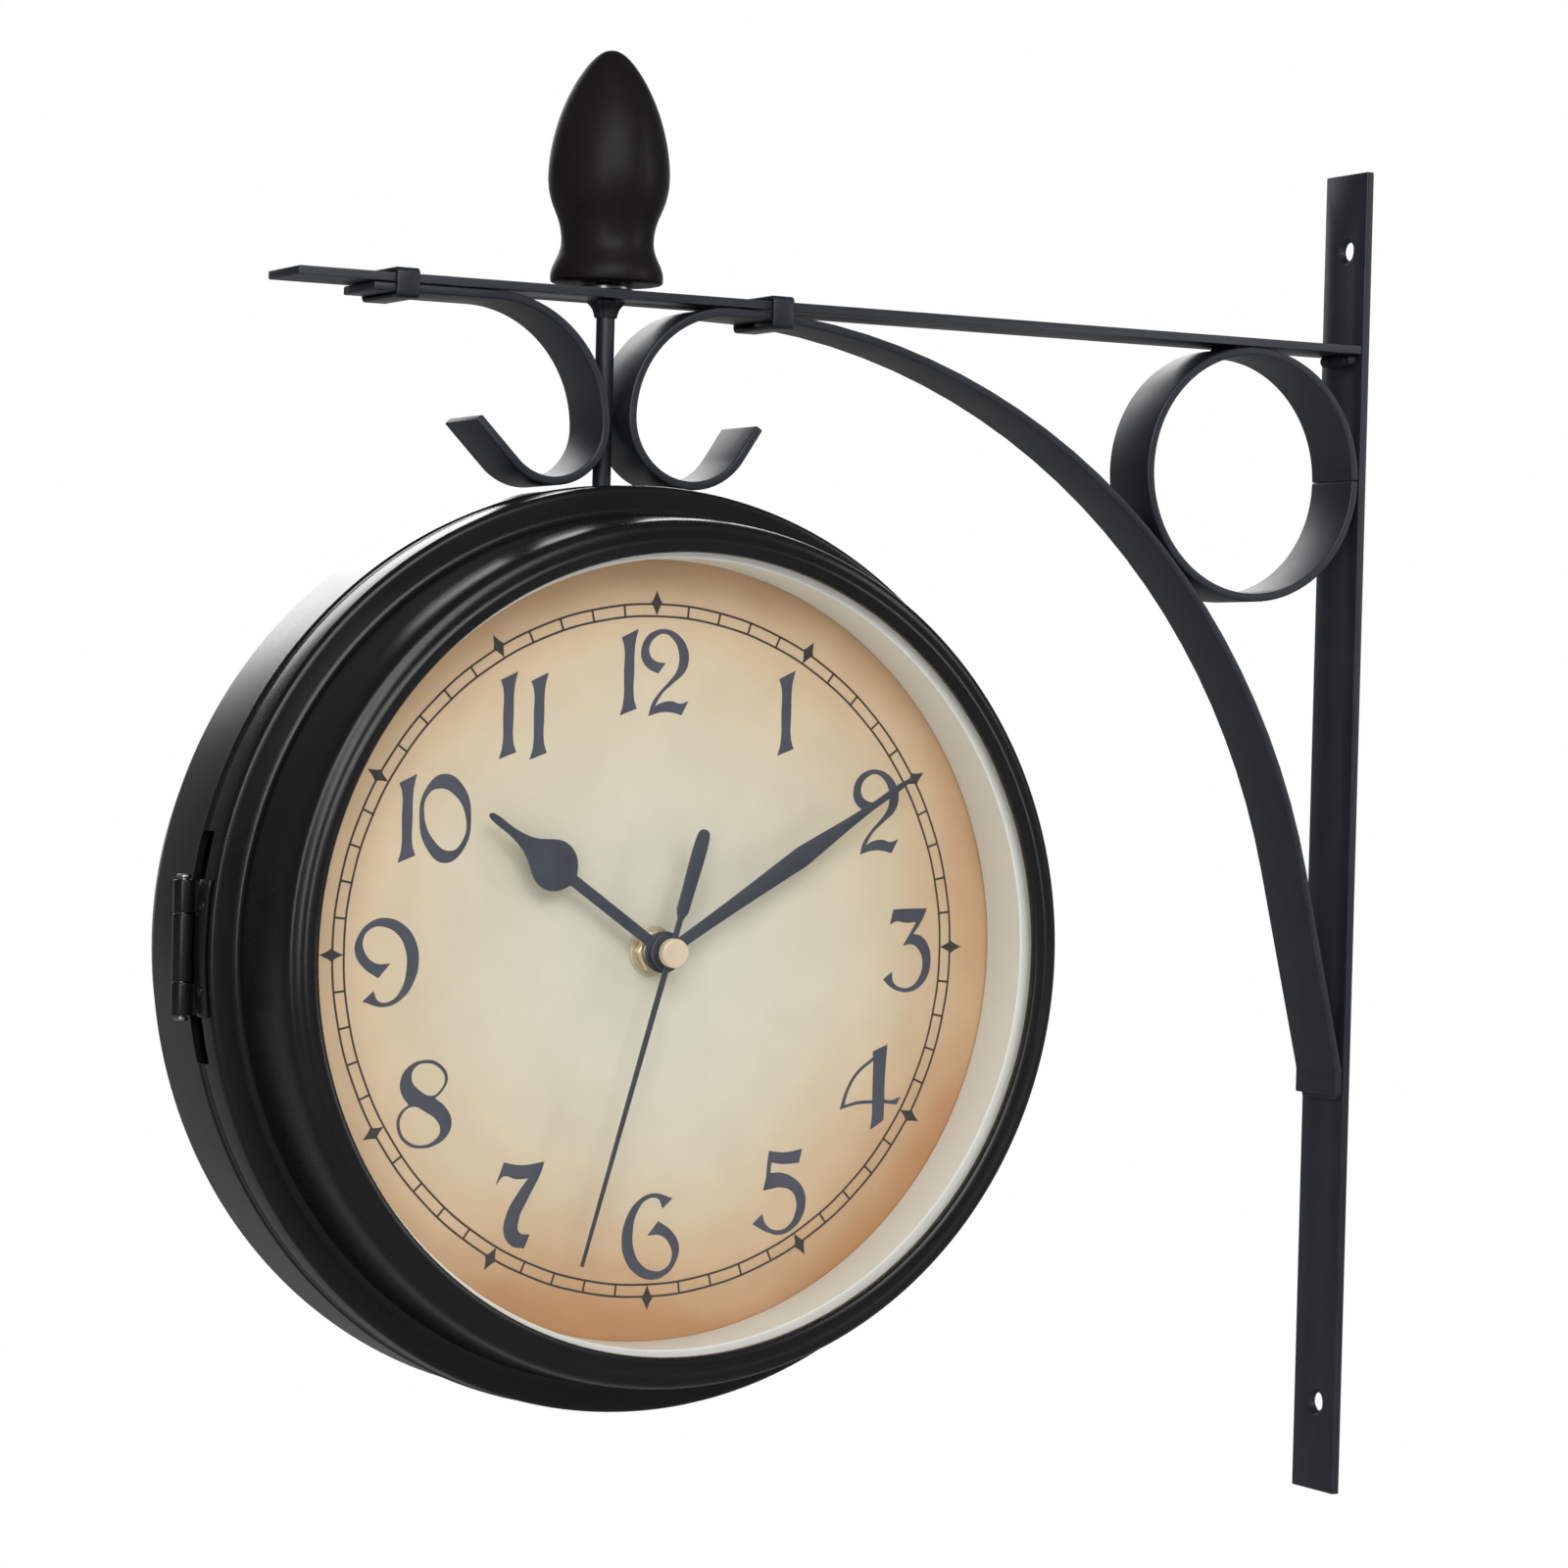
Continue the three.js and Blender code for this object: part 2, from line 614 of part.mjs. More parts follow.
// Curved leaf on the flange, its knuckles on the pin's axis and a web under each knuckle.
// side is +1 for the leaf towards the front and -1 for the fixed one.
function hingeLeaf(side, knuckles) {
  const inner = FLANGE_RADIUS + CLEARANCE;
  const half = Math.asin(HINGE_LENGTH / 2 / inner);
  const shape = new THREE.Shape();
  shape.absarc(0, 0, inner + LEAF_THICK, Math.PI - half, Math.PI + half, false);
  shape.absarc(0, 0, inner, Math.PI + half, Math.PI - half, true);
  const near = HINGE_BARREL_RADIUS + CLEARANCE;
  const far = near + LEAF_WIDTH;
  const axisY = -SEAM_DEPTH;
  const span = [axisY - side * near, axisY - side * far].sort((a, b) => a - b);
  let leaf = slab(shape, ...span);
  for (const i of knuckles) {
    const low = HINGE_LENGTH * KNUCKLE_ENDS[i] + CLEARANCE / 2;
    const high = HINGE_LENGTH * KNUCKLE_ENDS[i + 1] - CLEARANCE / 2;
    const webSpan = [axisY, axisY - side * (near + 1)].sort((a, b) => a - b);
    const web = boxBetween([-inner - LEAF_THICK, webSpan[0], low], [-inner, webSpan[1], high]);
    const knuckle = upright(disc(HINGE_BARREL_RADIUS, low, high)).translate(HINGE_AXIS_X, axisY, 0);
    leaf = join(leaf, web, knuckle);
  }
  const bore = upright(disc(HINGE_PIN_RADIUS + CLEARANCE, -HINGE_LENGTH, HINGE_LENGTH, 12));
  return cut(leaf, bore.translate(HINGE_AXIS_X, axisY, 0));
}

function hingePin() {
  const reach = HINGE_LENGTH / 2 + CLEARANCE;
  const profile = [
    [0, -reach - HINGE_PIN_HEAD],
    [HINGE_PIN_RADIUS + 0.7, -reach - HINGE_PIN_HEAD],
    [HINGE_PIN_RADIUS + 0.7, -reach],
    [HINGE_PIN_RADIUS, -reach],
    [HINGE_PIN_RADIUS, reach],
    [HINGE_PIN_RADIUS + 0.7, reach],
    [HINGE_PIN_RADIUS + 0.7, reach + HINGE_PIN_HEAD],
    [0, reach + HINGE_PIN_HEAD],
  ];
  return upright(turned(profile, 12)).translate(HINGE_AXIS_X, -SEAM_DEPTH, 0);
}

function catchMagnet() {
  const [width, depth, height] = MAGNET_SIZE;
  const face = -SEAM_DEPTH + CLEARANCE;
  return boxBetween([MAGNET_WALL - width, face, -height / 2], [MAGNET_WALL, face + depth, height / 2]);
}

function catchPlate() {
  const [width, , height] = MAGNET_SIZE;
  const face = -SEAM_DEPTH - CLEARANCE;
  return boxBetween([MAGNET_WALL - width, face - CATCH_PLATE_THICK, -height / 2], [MAGNET_WALL, face, height / 2]);
}

addPiece(fixedSide, 'hinge_leaf_door', hingeLeaf(1, [0, 2]), BLACK_STEEL);
addPiece(fixedSide, 'hinge_leaf_case', hingeLeaf(-1, [1]), BLACK_STEEL);
addPiece(fixedSide, 'hinge_pin', hingePin(), ZINC);
addPiece(fixedSide, 'catch_magnet', catchMagnet(), BLACK_PLASTIC);
addPiece(fixedSide, 'catch_plate', catchPlate(), ZINC);

// ---------------------------------------------------------------- hands

// Half the opening that a hand's stem leaves in its hub, in radians.
const HUB_NECK = 0.25;

function hubArc(shape, radius) {
  shape.absarc(0, 0, radius, Math.PI / 2 + HUB_NECK, 2.5 * Math.PI - HUB_NECK, false);
}

// Hour hand: a slim stem, a round bulb and a fine tip.
function hourHandShape() {
  const [bulb, bulbAt, length] = [HOUR_BULB_RADIUS, HOUR_BULB_REACH, HOUR_HAND_LENGTH];
  const [hub, neck, tip] = [0.65 * bulb, 0.2 * bulb, 0.12 * bulb];
  const [low, high] = [-0.96, 0.72]; // the bulb's arc on the right, from its middle, in radians
  const [stemEnd, waist, tipStart] = [bulbAt - 1.55 * bulb, bulbAt - bulb, bulbAt + 1.95 * bulb];
  const shape = new THREE.Shape();
  hubArc(shape, hub);
  shape.lineTo(neck, stemEnd);
  shape.quadraticCurveTo(neck + 0.4, waist, bulb * Math.cos(low), bulbAt + bulb * Math.sin(low));
  shape.absarc(0, bulbAt, bulb, low, high, false);
  shape.quadraticCurveTo(2, bulbAt + bulb, neck, tipStart);
  shape.lineTo(tip, length);
  shape.lineTo(-tip, length);
  shape.lineTo(-neck, tipStart);
  shape.quadraticCurveTo(-2, bulbAt + bulb, -bulb * Math.cos(high), bulbAt + bulb * Math.sin(high));
  shape.absarc(0, bulbAt, bulb, Math.PI - high, Math.PI - low, false);
  shape.quadraticCurveTo(-neck - 0.4, waist, -neck, stemEnd);
  shape.closePath();
  return shape;
}

// Minute hand: a leaf, widest at its middle.
function minuteHandShape() {
  const [widest, length] = [MINUTE_HAND_HALF_WIDTH, MINUTE_HAND_LENGTH];
  const [hub, tip, widestAt] = [1.03 * widest, 0.1 * widest, 0.523 * length];
  const low = new THREE.Vector2(0.3 * widest, 0.6 * widestAt);
  const high = new THREE.Vector2(0.28 * widest, 0.78 * length);
  const shape = new THREE.Shape();
  hubArc(shape, hub);
  shape.quadraticCurveTo(low.x, low.y, widest, widestAt);
  shape.quadraticCurveTo(high.x, high.y, tip, length);
  shape.lineTo(-tip, length);
  shape.quadraticCurveTo(-high.x, high.y, -widest, widestAt);
  shape.quadraticCurveTo(-low.x, low.y, -hub * Math.sin(HUB_NECK), hub * Math.cos(HUB_NECK));
  shape.closePath();
  return shape;
}

// Second hand: a needle one way and a round ended counterweight the other.
function secondHandShape() {
  const [length, tail, tailHalf] = [SECOND_HAND_LENGTH, SECOND_HAND_TAIL, SECOND_TAIL_HALF_WIDTH];
  const [hub, root, tip] = [2 * tailHalf, 0.48 * tailHalf, 0.27 * tailHalf];
  const tailStart = 0.4 * tail;
  const shape = new THREE.Shape();
  shape.moveTo(tip, length);
  shape.lineTo(-tip, length);
  shape.lineTo(-root, hub);
  shape.absarc(0, 0, hub, Math.PI / 2 + HUB_NECK, 1.5 * Math.PI - HUB_NECK, false);
  shape.lineTo(-tailHalf, -tailStart);
  shape.absarc(0, tailHalf - tail, tailHalf, Math.PI, 2 * Math.PI, false);
  shape.lineTo(tailHalf, -tailStart);
  shape.absarc(0, 0, hub, HUB_NECK - Math.PI / 2, Math.PI / 2 - HUB_NECK, false);
  shape.closePath();
  return shape;
}

// Angles from twelve, clockwise as seen from the dial's own side.
const SECOND_ANGLE = (2 * Math.PI * SECONDS) / 60;
const MINUTE_ANGLE = (2 * Math.PI * (MINUTES + SECONDS / 60)) / 60;
const HOUR_ANGLE = (2 * Math.PI * (HOURS + MINUTES / 60 + SECONDS / 3600)) / 12;

function hand(shape, bore, depth, angle) {
  shape.holes.push(circleHole(0, 0, bore));
  return slab(shape, -depth - HAND_THICK, -depth, 5).rotateY(angle);
}

// ---------------------------------------------------------------- dial sides

function movementCase() {
  const half = MOVEMENT_SIDE / 2;
  const inside = half - MOVEMENT_WALL;
  const floor = -MOVEMENT_FLOOR;
  const open = -MOVEMENT_BACK + 1;
  const block = boxBetween([-half, -MOVEMENT_FRONT, -half], [half, -MOVEMENT_BACK, half]);
  const wheelBay = boxBetween([-inside, floor, BATTERY_BAY_TOP + MOVEMENT_WALL], [inside, open, inside]);
  const batteryBay = boxBetween([-inside, floor, -inside], [inside, open, BATTERY_BAY_TOP]);
  const bushHole = disc(BUSH_RADIUS + CLEARANCE, MOVEMENT_BACK, MOVEMENT_FRONT + 1);
  return cut(block, wheelBay, batteryBay, bushHole);
}

function movementCover() {
  const half = MOVEMENT_SIDE / 2;
  const shape = new THREE.Shape([
    new THREE.Vector2(-half, BATTERY_BAY_TOP),
    new THREE.Vector2(half, BATTERY_BAY_TOP),
    new THREE.Vector2(half, half),
    new THREE.Vector2(-half, half),
  ]);
  shape.holes.push(circleHole(...KNOB_OFFSET, KNOB_STEM_RADIUS + CLEARANCE));
  return slab(shape, -COVER_FRONT, -COVER_BACK, 6);
}

function battery() {
  const profile = [
    [0, -BATTERY_LENGTH / 2],
    [BATTERY_RADIUS, -BATTERY_LENGTH / 2],
    [BATTERY_RADIUS, BATTERY_LENGTH / 2 - 1.5],
    [2.6, BATTERY_LENGTH / 2 - 1.5],
    [2.6, BATTERY_LENGTH / 2],
    [0, BATTERY_LENGTH / 2],
  ];
  const depth = MOVEMENT_FLOOR - CLEARANCE - BATTERY_RADIUS;
  return turned(profile, SMALL_SEGMENTS)
    .rotateZ(Math.PI / 2)
    .translate(0, -depth, BATTERY_BAY_TOP - CLEARANCE - BATTERY_RADIUS);
}

function bush() {
  const profile = [
    [BUSH_FLANGE_RADIUS, BUSH_FLANGE_FRONT - BUSH_FLANGE_THICK],
    [BUSH_FLANGE_RADIUS, BUSH_FLANGE_FRONT],
    [BUSH_RADIUS, BUSH_FLANGE_FRONT],
    [BUSH_RADIUS, DIAL_DEPTH + BUSH_REACH],
    [HOUR_PIPE_RADIUS + CLEARANCE, DIAL_DEPTH + BUSH_REACH],
    [HOUR_PIPE_RADIUS + CLEARANCE, BUSH_FLANGE_FRONT - BUSH_FLANGE_THICK],
  ];
  return turned(profile, SMALL_SEGMENTS);
}

// Wheel and its pipe or arbor. row 0 is nearest the dial; bore 0 makes a solid arbor.
function wheel(row, radius, pipe, bore, top) {
  const front = BUSH_FLANGE_FRONT - BUSH_FLANGE_THICK - CLEARANCE - row * (WHEEL_THICK + CLEARANCE);
  const profile = [
    [bore, front - WHEEL_THICK],
    [radius, front - WHEEL_THICK],
    [radius, front],
    [pipe, front],
    [pipe, top],
    [bore, top],
  ];
  return turned(profile, SMALL_SEGMENTS);
}

function handCap() {
  const back = SECOND_HAND_DEPTH + HAND_THICK + CLEARANCE;
  const front = back + CAP_THICK;
  const bore = SECOND_ARBOR_RADIUS + CLEARANCE;
  const profile = [
    [0, front],
    [CAP_RADIUS - 0.4, front],
    [CAP_RADIUS, front - 0.4],
    [CAP_RADIUS, back],
    [bore, back],
    [bore, front - 1],
    [0, front - 1],
  ];
  return turned(profile, SMALL_SEGMENTS);
}

function setKnob() {
  const profile = [
    [0, KNOB_FRONT - KNOB_THICK],
    [KNOB_RADIUS - 0.5, KNOB_FRONT - KNOB_THICK],
    [KNOB_RADIUS, KNOB_FRONT - KNOB_THICK + 0.5],
    [KNOB_RADIUS, KNOB_FRONT],
    [KNOB_STEM_RADIUS, KNOB_FRONT],
    [KNOB_STEM_RADIUS, MOVEMENT_BACK + 4],
    [0, MOVEMENT_BACK + 4],
  ];
  return turned(profile, SMALL_SEGMENTS).translate(KNOB_OFFSET[0], 0, KNOB_OFFSET[1]);
}

// Everything behind one opening, from the glass back to the setting knob.
function dialSide(side) {
  const group = new THREE.Group();
  const put = (name, geometry, material) => addPiece(group, `${name}_${side}`, geometry, material);
  put('glass', disc(GLASS_RADIUS, GLASS_BACK, GLASS_FRONT, CASE_SEGMENTS), GLASS);
  put('spacer_ring', tube(GLASS_RADIUS, SPACER_BORE, SPACER_BACK, SPACER_FRONT, CASE_SEGMENTS), IVORY_RING);
  put('dial', tube(GLASS_RADIUS, BUSH_RADIUS + CLEARANCE, DIAL_BACK, DIAL_DEPTH, CASE_SEGMENTS), DIAL_PRINT);
  const retainerBack = RETAINER_FRONT - RETAINER_THICK;
  put('retainer', tube(RETAINER_RADIUS, RETAINER_BORE, retainerBack, RETAINER_FRONT, CASE_SEGMENTS), ZINC);
  put('movement_case', movementCase(), BLACK_PLASTIC);
  put('movement_cover', movementCover(), WHITE_PLASTIC);
  put('battery', battery(), BATTERY_SLEEVE);
  put('bush', bush(), BRASS);
  put('washer', tube(WASHER_RADIUS, BUSH_RADIUS + CLEARANCE, WASHER_BACK, WASHER_BACK + WASHER_THICK), BRASS);
  put('nut', hexNut(NUT_RADIUS, BUSH_RADIUS + CLEARANCE, NUT_BACK, NUT_BACK + NUT_THICK), BRASS);
  const hourBore = MINUTE_PIPE_RADIUS + CLEARANCE;
  const minuteBore = SECOND_ARBOR_RADIUS + CLEARANCE;
  const hourTop = HOUR_HAND_DEPTH + HAND_THICK + CLEARANCE;
  const minuteTop = MINUTE_HAND_DEPTH + HAND_THICK + CLEARANCE;
  const secondTop = SECOND_HAND_DEPTH + HAND_THICK + CAP_THICK - 1;
  put('hour_wheel', wheel(0, 9, HOUR_PIPE_RADIUS, hourBore, hourTop), BRASS);
  put('minute_wheel', wheel(1, 7.5, MINUTE_PIPE_RADIUS, minuteBore, minuteTop), BRASS);
  put('second_wheel', wheel(2, 6.5, SECOND_ARBOR_RADIUS, 0, secondTop), BRASS);
  put('hour_hand', hand(hourHandShape(), HOUR_PIPE_RADIUS + CLEARANCE, HOUR_HAND_DEPTH, HOUR_ANGLE), SLATE);
  put('minute_hand', hand(minuteHandShape(), hourBore, MINUTE_HAND_DEPTH, MINUTE_ANGLE), SLATE);
  put('second_hand', hand(secondHandShape(), minuteBore, SECOND_HAND_DEPTH, SECOND_ANGLE), SLATE);
  put('hand_cap', handCap(), CHAMPAGNE);
  put('set_knob', setKnob(), BLACK_PLASTIC);
  return group;
}

fixedSide.add(dialSide('front'));
const rear = dialSide('rear');
rear.rotation.z = Math.PI;
fixedSide.add(rear);

export default clock;
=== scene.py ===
"""Double sided station clock on a wrought steel wall bracket, dressed for a picture."""

import json
import math
import bmesh
import bpy
from mathutils import Matrix, Vector

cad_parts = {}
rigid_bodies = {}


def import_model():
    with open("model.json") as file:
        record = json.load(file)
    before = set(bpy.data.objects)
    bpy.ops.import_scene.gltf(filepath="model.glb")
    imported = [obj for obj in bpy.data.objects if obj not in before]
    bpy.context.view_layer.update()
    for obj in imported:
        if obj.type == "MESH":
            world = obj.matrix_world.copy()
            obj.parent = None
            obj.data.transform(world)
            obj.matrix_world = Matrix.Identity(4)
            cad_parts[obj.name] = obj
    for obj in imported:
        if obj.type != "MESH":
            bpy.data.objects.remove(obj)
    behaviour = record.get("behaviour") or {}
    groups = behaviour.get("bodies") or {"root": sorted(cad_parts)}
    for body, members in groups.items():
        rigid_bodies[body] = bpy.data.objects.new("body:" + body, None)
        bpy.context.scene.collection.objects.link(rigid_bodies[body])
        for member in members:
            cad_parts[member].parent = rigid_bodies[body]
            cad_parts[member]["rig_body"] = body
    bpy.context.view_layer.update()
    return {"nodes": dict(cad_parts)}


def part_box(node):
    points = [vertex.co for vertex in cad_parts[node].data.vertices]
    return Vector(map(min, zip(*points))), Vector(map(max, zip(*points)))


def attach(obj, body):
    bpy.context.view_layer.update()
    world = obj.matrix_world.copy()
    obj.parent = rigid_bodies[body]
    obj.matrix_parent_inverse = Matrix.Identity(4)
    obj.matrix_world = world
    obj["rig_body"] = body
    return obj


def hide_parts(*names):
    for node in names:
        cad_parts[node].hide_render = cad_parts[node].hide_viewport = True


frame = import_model()

# ---------------------------------------------------------------------------------------------
# Camera. It stands a little to the left of the clock and level with the casing's top, and looks
# almost straight ahead, as the photographer did.

camera_yaw = 0.5032
camera_pitch = -0.01059
camera_roll = 0.02576
camera_place = Vector((-0.79203, -1.10715, 0.02442))
focal_pixels = 4769.8
picture_pixels = 1600

ahead = Vector((math.sin(camera_yaw) * math.cos(camera_pitch),
                math.cos(camera_yaw) * math.cos(camera_pitch),
                math.sin(camera_pitch)))
level_right = Vector((math.cos(camera_yaw), -math.sin(camera_yaw), 0))
level_up = level_right.cross(ahead)
tilted_right = level_right * math.cos(camera_roll) + level_up * math.sin(camera_roll)
tilted_up = level_up * math.cos(camera_roll) - level_right * math.sin(camera_roll)
camera_turn = Matrix((tilted_right, tilted_up, -ahead)).transposed().to_4x4()

bpy.ops.object.camera_add()
camera = bpy.context.object
camera.name = "picture_camera"
camera.matrix_world = Matrix.Translation(camera_place) @ camera_turn
camera.data.sensor_width = 36
camera.data.lens = focal_pixels / picture_pixels * 36
camera.data.clip_start = 0.01
bpy.context.scene.camera = camera
bpy.context.scene.view_settings.view_transform = "Standard"

# ---------------------------------------------------------------------------------------------
# Studio. A white floor half a metre under the bracket, white all round for the camera, and soft
# boxes: a tall one left, a broad one high in front, a slim one right and a broad one behind.

floor_drop = -0.52
floor_size = 7.0
floor_in_mirrors = 0.25


def as_seen(red, green, blue):
    """A colour as a screen shows it, 0 to 255, in the values that a shader wants."""
    def channel(value):
        part = value / 255
        return part / 12.92 if part <= 0.04045 else ((part + 0.055) / 1.055) ** 2.4
    return (channel(red), channel(green), channel(blue), 1)


def add_node(tree, kind, **settings):
    """One shader node. Settings that name a socket go to its default value."""
    node = tree.nodes.new(kind)
    for key, value in settings.items():
        if hasattr(node, key):
            setattr(node, key, value)
        else:
            node.inputs[key.replace("_", " ")].default_value = value
    return node


bpy.ops.object.select_all(action="DESELECT")
bpy.ops.mesh.primitive_circle_add(vertices=64, radius=floor_size, fill_type="NGON", location=(-0.2, 0, floor_drop))
floor = bpy.context.object
floor.name = "studio_floor"
bpy.ops.object.mode_set(mode="EDIT")
bpy.ops.mesh.inset(thickness=floor_size * 0.4)
bpy.ops.object.mode_set(mode="OBJECT")
floor_white = bpy.data.materials.new("floor_white")
floor_white.use_nodes = True
tree = floor_white.node_tree
tree.nodes.clear()
rays = tree.nodes.new("ShaderNodeLightPath")
seen = add_node(tree, "ShaderNodeMath", operation="MAXIMUM")
mirrored = add_node(tree, "ShaderNodeMath", operation="MULTIPLY")
mirrored.inputs[1].default_value = floor_in_mirrors
bright = add_node(tree, "ShaderNodeMath", operation="MAXIMUM")
shown = add_node(tree, "ShaderNodeMath", operation="MAXIMUM")
plain = add_node(tree, "ShaderNodeBsdfDiffuse", Color=(0.8, 0.8, 0.8, 1))
white = add_node(tree, "ShaderNodeEmission", Color=(1, 1, 1, 1), Strength=1.0)
both = tree.nodes.new("ShaderNodeMixShader")
out = tree.nodes.new("ShaderNodeOutputMaterial")
tree.links.new(rays.outputs["Is Camera Ray"], seen.inputs[0])
tree.links.new(rays.outputs["Is Transmission Ray"], seen.inputs[1])
tree.links.new(rays.outputs["Is Glossy Ray"], mirrored.inputs[0])
tree.links.new(seen.outputs[0], bright.inputs[0])
tree.links.new(mirrored.outputs[0], bright.inputs[1])
tree.links.new(bright.outputs[0], white.inputs["Strength"])
tree.links.new(seen.outputs[0], shown.inputs[0])
tree.links.new(rays.outputs["Is Glossy Ray"], shown.inputs[1])
tree.links.new(shown.outputs[0], both.inputs[0])
tree.links.new(plain.outputs[0], both.inputs[1])
tree.links.new(white.outputs[0], both.inputs[2])
tree.links.new(both.outputs[0], out.inputs["Surface"])
floor.data.materials.append(floor_white)

# The room: white for the camera, and for reflections white behind the clock and grey in front.
room = bpy.data.worlds.new("studio_room")
bpy.context.scene.world = room
room.use_nodes = True
tree = room.node_tree
tree.nodes.clear()
room_light = 0.44
rays = tree.nodes.new("ShaderNodeLightPath")
place = tree.nodes.new("ShaderNodeTexCoord")
along = add_node(tree, "ShaderNodeVectorMath", operation="DOT_PRODUCT")
along.inputs[1].default_value = (0.48, 0.87, 0)
behind = add_node(tree, "ShaderNodeMapRange", interpolation_type="SMOOTHSTEP")
behind.inputs["From Min"].default_value = 0.74
behind.inputs["From Max"].default_value = 0.97
mirrored = add_node(tree, "ShaderNodeMath", operation="MULTIPLY")
direct = add_node(tree, "ShaderNodeMath", operation="MAXIMUM")
white_share = add_node(tree, "ShaderNodeMath", operation="MAXIMUM")
soft = add_node(tree, "ShaderNodeBackground", Color=(1, 1, 1, 1), Strength=room_light)
dim = add_node(tree, "ShaderNodeBackground", Color=(0.93, 0.96, 1, 1), Strength=0.11)
white = add_node(tree, "ShaderNodeBackground", Color=(1, 1, 1, 1), Strength=1.0)
front = tree.nodes.new("ShaderNodeMixShader")
both = tree.nodes.new("ShaderNodeMixShader")
out = tree.nodes.new("ShaderNodeOutputWorld")
tree.links.new(place.outputs["Generated"], along.inputs[0])
tree.links.new(along.outputs["Value"], behind.inputs["Value"])
tree.links.new(behind.outputs[0], mirrored.inputs[0])
tree.links.new(rays.outputs["Is Glossy Ray"], mirrored.inputs[1])
tree.links.new(rays.outputs["Is Camera Ray"], direct.inputs[0])
tree.links.new(rays.outputs["Is Transmission Ray"], direct.inputs[1])
tree.links.new(direct.outputs[0], white_share.inputs[0])
tree.links.new(mirrored.outputs[0], white_share.inputs[1])
tree.links.new(rays.outputs["Is Glossy Ray"], front.inputs[0])
tree.links.new(soft.outputs[0], front.inputs[1])
tree.links.new(dim.outputs[0], front.inputs[2])
tree.links.new(white_share.outputs[0], both.inputs[0])
tree.links.new(front.outputs[0], both.inputs[1])
tree.links.new(white.outputs[0], both.inputs[2])
tree.links.new(both.outputs[0], out.inputs["Surface"])


def soft_box(name, place, target, width, height, power):
    """A rectangular lamp at place that faces target."""
    bpy.ops.object.light_add(type="AREA", location=place)
    lamp = bpy.context.object
    lamp.name = name
    lamp.data.shape = "RECTANGLE"
    lamp.data.size = width
    lamp.data.size_y = height
    lamp.data.energy = power
    lamp.rotation_euler = (Vector(target) - Vector(place)).to_track_quat("-Z", "Y").to_euler()
    return lamp


clock_middle = (-0.22, 0, -0.02)
soft_box("box_left", (-1.5, -1.6, 0.5), clock_middle, 0.5, 1.4, 9)
soft_box("box_front", (-0.6, -1.9, 1.0), clock_middle, 1.6, 1.0, 22.5)
soft_box("box_right", (1.3, -1.1, 0.5), clock_middle, 0.3, 1.2, 5)
soft_box("box_back", (0.3, 1.9, 0.9), clock_middle, 1.5, 1.0, 14)

# ---------------------------------------------------------------------------------------------
# Wall bar. A flat mild steel strip, sheared off square, with its edges dressed, two punched and
# countersunk screw holes, and the satin black powder coat that all of the bracket wears.

strip_wide = 0.020
strip_thick = 0.0023
strip_edge = 0.00045
wall_bar_half = 0.190
wall_hole_radius = 0.0026
wall_hole_sink = 0.0042
wall_hole_heights = (0.168, -0.1646)
coat_dark = as_seen(25, 28, 34)
coat_light = as_seen(38, 43, 50)


def speckle_group():
    """Blotches and a fine grain, both on object coordinates, from 0 to 1."""
    tree = bpy.data.node_groups.new("blotch_and_grain", "ShaderNodeTree")
    for name, value in (("Blotch Scale", 30.0), ("Grain Scale", 900.0), ("Stretch", 1.0)):
        socket = tree.interface.new_socket(name=name, in_out="INPUT", socket_type="NodeSocketFloat")
        socket.default_value = value
    for name in ("Blotch", "Grain", "Height"):
        tree.interface.new_socket(name=name, in_out="OUTPUT", socket_type="NodeSocketFloat")
    entry = tree.nodes.new("NodeGroupInput")
    leave = tree.nodes.new("NodeGroupOutput")
    place = tree.nodes.new("ShaderNodeTexCoord")
    stretch = tree.nodes.new("ShaderNodeCombineXYZ")
    stretch.inputs["X"].default_value = 1
    stretch.inputs["Y"].default_value = 1
    drawn_out = add_node(tree, "ShaderNodeVectorMath", operation="MULTIPLY")
    blotch = add_node(tree, "ShaderNodeTexNoise", Detail=4.0, Roughness=0.6)
    grain = add_node(tree, "ShaderNodeTexNoise", Detail=2.0, Roughness=0.5)
    spread = tree.nodes.new("ShaderNodeMapRange")
    spread.inputs["From Min"].default_value = 0.3
    spread.inputs["From Max"].default_value = 0.7
    height = add_node(tree, "ShaderNodeMath", operation="MULTIPLY_ADD")
    height.inputs[1].default_value = 0.75
    tree.links.new(entry.outputs["Stretch"], stretch.inputs["Z"])
    tree.links.new(place.outputs["Object"], drawn_out.inputs[0])
    tree.links.new(stretch.outputs[0], drawn_out.inputs[1])
    tree.links.new(drawn_out.outputs[0], blotch.inputs["Vector"])
    tree.links.new(drawn_out.outputs[0], grain.inputs["Vector"])
    tree.links.new(entry.outputs["Blotch Scale"], blotch.inputs["Scale"])
    tree.links.new(entry.outputs["Grain Scale"], grain.inputs["Scale"])
    tree.links.new(blotch.outputs["Fac"], spread.inputs["Value"])
    tree.links.new(grain.outputs["Fac"], height.inputs[0])
    tree.links.new(blotch.outputs["Fac"], height.inputs[2])
    tree.links.new(spread.outputs[0], leave.inputs["Blotch"])
    tree.links.new(grain.outputs["Fac"], leave.inputs["Grain"])
    tree.links.new(height.outputs[0], leave.inputs["Height"])
    return tree


